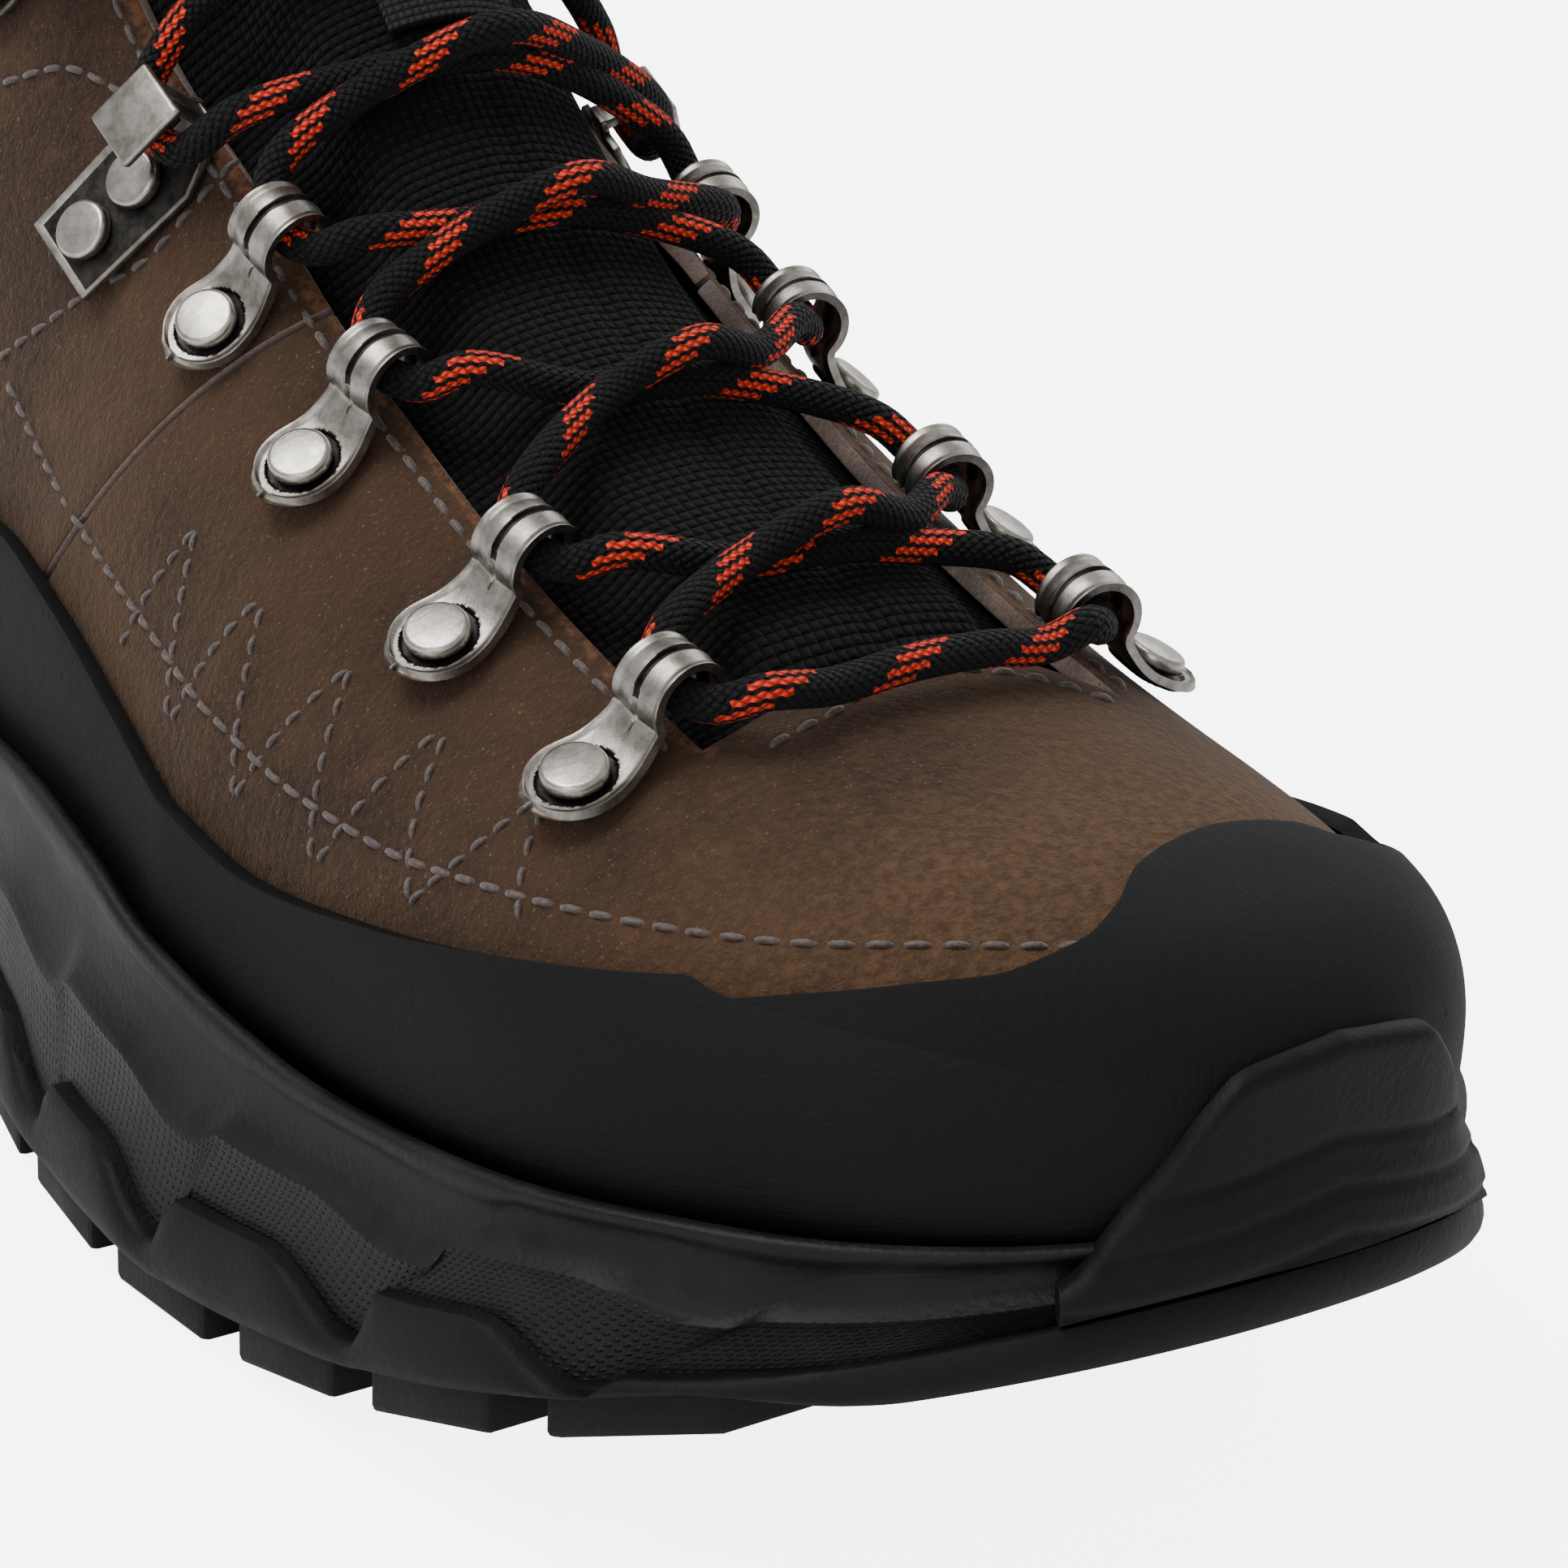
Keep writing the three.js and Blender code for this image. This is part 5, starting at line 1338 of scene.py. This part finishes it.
from_top = top[:, None] - z
face = face + 1.5 * (1 - np.sqrt(np.clip(1 - (1 - np.clip(from_top / 1.7, 0, 1)) ** 2, 0, 1)))
back = np.maximum(gap - 0.3, face + 0.15)
front_points = np.stack([start[:, None, c] + inwards[:, None, c] * face for c in (0, 1)] + [z], -1)
back_points = np.stack([start[:, None, c] + inwards[:, None, c] * back for c in (0, 1)] + [z], -1)
loops = np.concatenate([front_points, back_points[:, ::-1]], 1)
m, n = loops.shape[:2]
faces = grid_faces(m, n, closed=True).tolist()
for base, flip in ((0, False), ((m - 1) * n, True)):
    for i in range(count - 1):
        quad = [base + i, base + i + 1, base + n - 2 - i, base + n - 1 - i]
        faces.append(quad[::-1] if flip else quad)
bumper = new_piece("toe_bumper_rubber", loops.reshape(-1, 3), faces)
select_only(bumper)
bpy.ops.object.mode_set(mode="EDIT")
bpy.ops.mesh.select_all(action="SELECT")
bpy.ops.mesh.normals_make_consistent(inside=False)
bpy.ops.object.mode_set(mode="OBJECT")
bpy.ops.object.shade_smooth_by_angle(angle=0.9)
use(bumper, TREAD_RUBBER)
settle(bumper, "tread_rubber", "toe_bumper")
print("bumper", len(bumper.data.polygons), "faces")

# %% [markdown]
# ## Lace hooks
# A closed hook is pressed from one strip of steel: a round end with a raised rim and a sunken
# seat for its rivet, and a slit nose that curls round the lace. It is a grid that is bent
# along its own side view. The open hooks are a plate, a post and a roof. Each is modelled
# once at the origin, with x towards the throat and z off the leather, and copied to its
# places on the eyestays.


# %% Metal finish
def metal_finish(name, dark, light, rough):
    m, tree, shader = new_material(name)
    at = object_space(tree)
    cloud = ramp(tree, noise(tree, at, 420.0, 5.0, 0.7), 0.3, 0.7)
    scratch = noise(tree, stretched(tree, at, 900, 5200, 900), 1.0, 4.0, 0.7)
    tree.links.new(blend_colours(tree, cloud, dark, light), shader.inputs["Base Color"])
    tree.links.new(maths(tree, "MULTIPLY_ADD", scratch, 0.22, rough), shader.inputs["Roughness"])
    add_bump(tree, shader, maths(tree, "MULTIPLY_ADD", cloud, 0.5, scratch), 0.02)
    set_shader(shader, Metallic=1.0)
    return m


NICKEL = metal_finish("antique_nickel", (0.16, 0.145, 0.125), (0.34, 0.315, 0.28), 0.24)
BRUSHED = metal_finish("brushed_rivet", (0.26, 0.24, 0.215), (0.46, 0.43, 0.385), 0.2)
# The third finish is a near-black metal for the sunken seats and slits of the hooks: painted shade where
# these recesses would be in shade.
RECESS_SHADE = metal_finish("painted_recess_shade", (0.012, 0.011, 0.01), (0.045, 0.042, 0.038), 0.4)

# %% Plates of the open hooks
PLATE_BASE, PLATE = 0.6, 1.0


def drop_outline(round_at, round_r, tail_at, tail_r, count):
    lean = np.arccos((round_r - tail_r) / (tail_at - round_at))
    head = np.linspace(lean, 2 * PI - lean, count)
    tail = np.linspace(-lean, lean, count // 2)
    return [(round_at + round_r * np.cos(t), round_r * np.sin(t)) for t in head] + \
           [(tail_at + tail_r * np.cos(t), tail_r * np.sin(t)) for t in tail]


def plate(outline, rim=0.75, dip=0.4):
    """A pressed plate: an outline raised to its thickness, with a sunken middle."""
    bpy.ops.object.select_all(action="DESELECT")
    bpy.ops.mesh.primitive_circle_add(vertices=len(outline), radius=MM, fill_type="NGON")
    piece = bpy.context.object
    for v, (x, y) in zip(piece.data.vertices, outline):
        v.co = Vector((x, y, PLATE_BASE)) * MM
    bpy.ops.object.mode_set(mode="EDIT")
    bpy.ops.mesh.select_all(action="SELECT")
    bpy.ops.mesh.extrude_region_move(TRANSFORM_OT_translate={"value": (0, 0, PLATE * MM)})
    bpy.ops.mesh.inset(thickness=rim * MM)
    bpy.ops.transform.translate(value=(0, 0, -dip * MM))
    bpy.ops.mesh.inset(thickness=0.05 * MM)
    bpy.ops.mesh.select_all(action="SELECT")
    bpy.ops.mesh.normals_make_consistent(inside=False)
    bpy.ops.object.mode_set(mode="OBJECT")
    use(piece, NICKEL, RECESS_SHADE)
    # Faces of the sunken middle take the second, near-black finish: painted shade in the recess.
    sunk = (PLATE_BASE + PLATE - dip) * MM
    for f in piece.data.polygons:
        f.material_index = int(f.normal.z > 0.9 and abs(f.center.z - sunk) < 0.02 * MM)
    modify(piece, "BEVEL", width=0.2 * MM, segments=2, limit_method="ANGLE", angle_limit=0.7)
    return piece


# %% The closed hook
NOSE_R = LOOP_BORE / 2 + LOOP_WALL
NOSE_CURL = np.linspace(-0.3, 3.9, 60)


def shield():
    """Plate and nose in one: a strip that runs from the rivet up and round the lace, with a
    sunken seat for the rivet, a raised rim, and a groove that opens into the slit."""
    flat = [(-RIVET_BACK - 4.9, 1.6), (-RIVET_BACK, 1.6), (-8.6, 1.75), (-6.6, 2.5)]
    nose = [(-NOSE_R * np.cos(c), NOSE_LIFT + NOSE_R * np.sin(c)) for c in NOSE_CURL]
    path, reach = smooth_path([(x, 0, z) for x, z in flat + nose[2:]], 0.22)
    along = np.linspace(0, reach, len(path))
    step = np.gradient(path, axis=0)
    step /= np.linalg.norm(step, axis=1)[:, None]
    normal = np.stack([-step[:, 2], 0 * along, step[:, 0]], -1)
    wide = curve((0, 4.9), (5, 4.9), (9, 4.15), (12, 3.6), (16, 3.35), (reach, 2.6))(along)
    end = np.sqrt(np.clip(1 - (1 - np.clip(along / 4.9, 0, 1)) ** 2, 0, 1))
    wide = np.maximum(wide * end, 0.02)
    share = np.linspace(-1, 1, 45)
    y = wide[:, None] * share
    far = along[:, None] - 4.9
    rim = 0.35 * smooth(0.0, 0.9, wide[:, None] - np.abs(y))
    seat = 0.75 * (1 - smooth(3.55, 3.95, np.hypot(far * 0.96, y)))
    spear = 0.9 * smooth(5.6, 10.5, far) * (1 - smooth(10.5, 13, far))
    groove = 0.7 * (1 - smooth(0.3, 1.0, np.abs(y) / np.maximum(spear, 0.02))) * (spear > 0.03)
    slit = 0.75 * smooth(9.6, 10.2, far) * (1 - smooth(0.34, 0.5, np.abs(y)))
    depth = np.maximum(np.maximum(rim, seat), np.maximum(groove, slit))
    depth = depth - 0.45 * np.clip(np.cos(np.clip(share, -1, 1) * PI / 2), 0, 1) * smooth(5, 9, far)
    points = path[:, None] - normal[:, None] * depth[..., None]
    points[..., 1] = y
    piece = new_piece("shield", points.reshape(-1, 3), grid_faces(len(path), 45).tolist())
    use(piece, NICKEL, RECESS_SHADE)
    # The rivet seat and the slit take the near-black finish: painted shade in these recesses.
    black = ((seat > 0.3) | (slit > 0.3))[:-1, :-1].ravel()
    piece.data.polygons.foreach_set("material_index", black.astype(np.int32))
    if piece.data.polygons[200].normal.z < 0:
        piece.data.flip_normals()
    modify(piece, "SOLIDIFY", thickness=0.9 * MM, offset=-1)
    return piece


def model(name, parts):
    for part in parts:
        select_only(part)
        bpy.ops.object.shade_smooth_by_angle(angle=0.7)
    piece = join(name, parts)
    piece.data.name = name
    return piece


loop_model = model("loop_hook_model", [shield()])
open_plate = plate(drop_outline(-RIVET_BACK, 4.5, -4, 3.2, 40))
LOCK_PLATE = ((3, 4), (-2, 6.5), (-18, 6), (-18, -6), (-2, -6.5), (3, -4))
lock_plate = plate([(x, y) for x, y in LOCK_PLATE], rim=0.8)


# %% Open hooks and rivets
def block(x0, x1, y0, y1, z0, z1, worn=0.25):
    bpy.ops.object.select_all(action="DESELECT")
    bpy.ops.mesh.primitive_cube_add(size=1)
    piece = bpy.context.object
    for v in piece.data.vertices:
        v.co = Vector((mix(x0, x1, v.co.x + 0.5), mix(y0, y1, v.co.y + 0.5),
                       mix(z0, z1, v.co.z + 0.5))) * MM
    modify(piece, "BEVEL", width=worn * MM, segments=3)
    use(piece, NICKEL, RECESS_SHADE)
    return piece


def with_post(name, base, width):
    tall = NOSE_LIFT + LACE / 2 + 1.3
    post = block(3.5, 4.9, -1.5, 1.5, 0.8, tall + 0.5)
    foot = block(-1.9, 5.1, -1.5, 1.5, 0.6, 1.6)
    roof = block(-3.5, 4.9, -width / 2, width / 2, tall, tall + 1.2, worn=0.5)
    return model(name, [base, post, foot, roof])


lock_model = with_post("lock_hook_model", lock_plate, 8)
open_model = with_post("open_hook_model", open_plate, 5)

bpy.ops.object.select_all(action="DESELECT")
bpy.ops.mesh.primitive_cylinder_add(vertices=48, radius=3.25 * MM, depth=1.7 * MM,
                                    location=(0, 0, 2.1 * MM))
rivet_model = bpy.context.object
bpy.ops.object.transform_apply(location=True)
use(rivet_model, BRUSHED)
modify(rivet_model, "BEVEL", width=0.55 * MM, segments=3, limit_method="ANGLE", angle_limit=0.7)
rivet_model = model("rivet_model", [rivet_model])


def copy_to(source, name, matrix, *nodes):
    mesh = source.data.copy()
    mesh.name = name
    matrix = Matrix(matrix.tolist())
    matrix.translation *= MM
    mesh.transform(matrix)
    piece = bpy.data.objects.new(name, mesh)
    bpy.context.scene.collection.objects.link(piece)
    settle(piece, "gunmetal", *nodes)
    return piece


def shifted(matrix, x):
    out = matrix.copy()
    out[:3, 3] += matrix[:3, 0] * x
    return out


for word, side in (("outer", -1), ("inner", 1)):
    for i, u in enumerate(LOOPS, 1):
        at = eyestay_frame(u, side, 0)
        copy_to(loop_model, f"hook_{word}_{i}", at, f"loop_hook_{word}_{i}")
        copy_to(rivet_model, f"rivet_{word}_{i}", shifted(at, -RIVET_BACK), f"loop_rivet_{word}_{i}")
    at = eyestay_frame(LOCK, side, OPEN_BACK)
    copy_to(lock_model, f"lock_{word}", at, f"lock_hook_{word}")
    copy_to(rivet_model, f"lock_stud_{word}_1", shifted(at, -13.4), f"lock_rivet_{word}_1")
    copy_to(rivet_model, f"lock_stud_{word}_2", shifted(at, -5.6), f"lock_rivet_{word}_2")
    for i, u in enumerate(OPEN_HOOKS, 1):
        at = eyestay_frame(u, side, OPEN_BACK)
        copy_to(open_model, f"speed_hook_{word}_{i}", at, f"open_hook_{word}_{i}")
        copy_to(rivet_model, f"speed_stud_{word}_{i}", shifted(at, -RIVET_BACK),
                f"open_rivet_{word}_{i}")
for source in (loop_model, lock_model, open_model, rivet_model):
    bpy.data.objects.remove(source)

# %% [markdown]
# ## Tongue
# The tongue is foam in coarse black cloth, tucked under both eyestays. It is a sheet on the
# last with a soft crown between the edges, and its weave follows its UV map in millimetres.


# %% Cloth finishes
def cloth_finish(name, pitch, dark, light, depth):
    m, tree, shader = new_material(name)
    across, along = uv_axes(tree)
    height = woven(tree, maths(tree, "MULTIPLY", across, 1 / pitch),
                   maths(tree, "MULTIPLY", along, 1 / pitch), 0.7)
    fuzz = noise(tree, object_space(tree), 3500.0, 3.0)
    height = maths(tree, "MULTIPLY_ADD", fuzz, 0.3, height)
    # The colour follows the weave's height, darker where it is low: painted shade in the hollows between
    # the yarns, with a little random fuzz.
    tree.links.new(blend_colours(tree, height, dark, light), shader.inputs["Base Color"])
    add_bump(tree, shader, height, depth)
    set_shader(shader, Roughness=0.9, Sheen_Weight=0.02, Specular_IOR_Level=0.08)
    return m


TONGUE_CLOTH = cloth_finish("tongue_weave", 1.2, (0.0006, 0.0006, 0.0006), (0.0042, 0.0042, 0.0045), 0.6)
LINING_CLOTH = cloth_finish("lining_knit", 0.8, (0.006, 0.006, 0.0065), (0.022, 0.022, 0.024), 0.3)
WEBBING = cloth_finish("webbing", 0.9, (0.004, 0.004, 0.004), (0.02, 0.02, 0.021), 0.4)

# %% Tongue
TUCK = 9 / 40


def tongue_place(p, q):
    u = mix(THROAT - 0.07, 2.09, p)
    a = mix(-edge(u, -1) - TUCK, edge(u, 1) + TUCK, q)
    from_edge = np.abs(a) / np.maximum(edge_either(u, a), 0.05)
    free = smooth(THROAT + 0.02, THROAT + 0.09, u) * (1 - smooth(0.5, 0.82, from_edge))
    return u, a, mix(-LEATHER - PLY, TONGUE_FACE, free) - 0.5 * bump_at(from_edge, 0, 0.06) * free


tongue = depth_sheet("tongue_cloth_pad", 190, 56, tongue_place)
use(tongue, TONGUE_CLOTH)
modify(tongue, "SOLIDIFY", thickness=3.9 * MM, offset=-1)
modify(tongue, "BEVEL", width=1.2 * MM, segments=3, limit_method="ANGLE", angle_limit=0.9)
select_only(tongue)
bpy.ops.object.shade_smooth_by_angle(angle=0.9)
settle(tongue, "tongue_cloth", "tongue")

# %% Lining, footbed and keeper
def lining_place(p, q):
    u, a = COLLAR_TOP * p, mix(-1, 1, q) * PI
    deep = edge_either(u, a) + (9 + 8) / 40
    tongue_over = smooth(THROAT - 0.22, THROAT - 0.12, u) * (1 - smooth(0, 0.35, np.abs(a) - deep))
    return u, a, -mix(5.6, 8.1, np.maximum(tongue_over, smooth(1.7, 1.77, u)))


lining = depth_sheet("lining_sock", 90, 96, lining_place)
finish_sheet(lining, 2.0, LINING_CLOTH, worn=0.3)
settle(lining, "lining_cloth", "lining")
footbed = depth_sheet("footbed_pad", 60, 30, lambda p, q: (
    mix(station(20), swing(44), p), wrap(mix(0.82 * PI, 1.18 * PI, q)), 0 * p - 8.5))
finish_sheet(footbed, 3.5, LINING_CLOTH, worn=0.8)
settle(footbed, "foam", "footbed")
keeper = depth_sheet("keeper_webbing", 16, 24, lambda p, q: (
    swing(28.5) + mix(-0.05, 0.05, p), mix(-0.2, 0.2, q), 0 * p + 2.4))
finish_sheet(keeper, 1.1, WEBBING, worn=0.3)
settle(keeper, "webbing", "lace_keeper")

# %% [markdown]
# ## Knot
# The bow's knot is a lump of lace wound through itself, so it is a short tube on the line
# of a trefoil, the simplest real knot.

# %% Knot
t = np.linspace(0, 2 * PI, 40)[:-1]
trefoil = np.stack([np.sin(t) + 2 * np.sin(2 * t), np.cos(t) - 2 * np.cos(2 * t), -np.sin(3 * t)], -1)
knot_frame = np.eye(4)
z = skin_normal(KNOT, 0.0)
knot_frame[:3] = np.stack([[1, 0, 0], np.cross(z, [1, 0, 0]), z, skin(KNOT, 0.0, KNOT_LIFT)], -1)
knot, _, _ = tube("bow_knot", put(knot_frame, trefoil * (1.45, 1.2, 1.6)), LACE * 0.85)
use(knot, LACE_FINISH)
settle(knot, "lace_cord", "lace_knot")


# %% Pull loop and its tab
def refined_copy(node, name, worn, material, slot, body="boot", levels=0):
    """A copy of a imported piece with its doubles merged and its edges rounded."""
    piece = bpy.data.objects.new(name, bpy.data.objects[node].data.copy())
    bpy.context.scene.collection.objects.link(piece)
    piece.data.name = name
    piece.data.materials.clear()
    piece = join(name, [piece])
    bpy.ops.object.mode_set(mode="EDIT")
    bpy.ops.mesh.select_all(action="SELECT")
    bpy.ops.mesh.dissolve_limited(angle_limit=0.02)
    bpy.ops.object.mode_set(mode="OBJECT")
    modify(piece, "BEVEL", width=worn * MM, segments=3, limit_method="ANGLE", angle_limit=0.6)
    use(piece, material)
    select_only(piece)
    bpy.ops.object.shade_smooth_by_angle(angle=0.9)
    settle(piece, slot, node, body=body)
    return piece


def strap_finish():
    m, tree, shader = new_material("pull_loop_webbing")
    axes = node(tree, "SeparateXYZ", Vector=object_space(tree))
    across = maths(tree, "MULTIPLY", axes.outputs[0], 900.0)
    along = maths(tree, "MULTIPLY", axes.outputs[2], 700.0)
    height = woven(tree, across, along, 0.6)
    # The colour is darker where the weave's height is low: painted shade in the hollows between the yarns.
    tree.links.new(blend_colours(tree, height, (0.004, 0.004, 0.004), (0.022, 0.022, 0.023)),
                   shader.inputs["Base Color"])
    add_bump(tree, shader, height, 0.35)
    set_shader(shader, Roughness=0.85, Sheen_Weight=0.15)
    return m


STRAP_FINISH = strap_finish()
refined_copy("pull_loop", "pull_loop_strap", 0.3, STRAP_FINISH, "webbing", body="pull_loop")
refined_copy("pull_loop_tab", "pull_loop_tab_webbing", 0.3, STRAP_FINISH, "webbing")


# %% Hidden pieces
def hidden_finish(name, dark, light, rough, scale=400.0, metallic=0.0):
    m, tree, shader = new_material(name)
    cloud = noise(tree, object_space(tree), scale, 5.0, 0.65)
    tree.links.new(blend_colours(tree, cloud, dark, light), shader.inputs["Base Color"])
    add_bump(tree, shader, cloud, 0.15)
    set_shader(shader, Roughness=rough, Metallic=metallic)
    return m


for node_name, material in (
        ("insole_board", hidden_finish("insole_board", (0.2, 0.16, 0.1), (0.3, 0.24, 0.15), 0.9)),
        ("shank", hidden_finish("shank_steel", (0.35, 0.35, 0.34), (0.5, 0.5, 0.48), 0.35,
                                metallic=1.0)),
        ("toe_puff", hidden_finish("toe_puff", (0.02, 0.018, 0.015), (0.05, 0.045, 0.04), 0.7)),
        ("heel_counter", hidden_finish("counter", (0.02, 0.018, 0.015), (0.05, 0.045, 0.04), 0.7)),
        ("collar_padding", hidden_finish("collar_foam", (0.1, 0.09, 0.08), (0.18, 0.17, 0.15), 0.95))):
    bpy.data.objects[node_name].material_slots[0].material = material
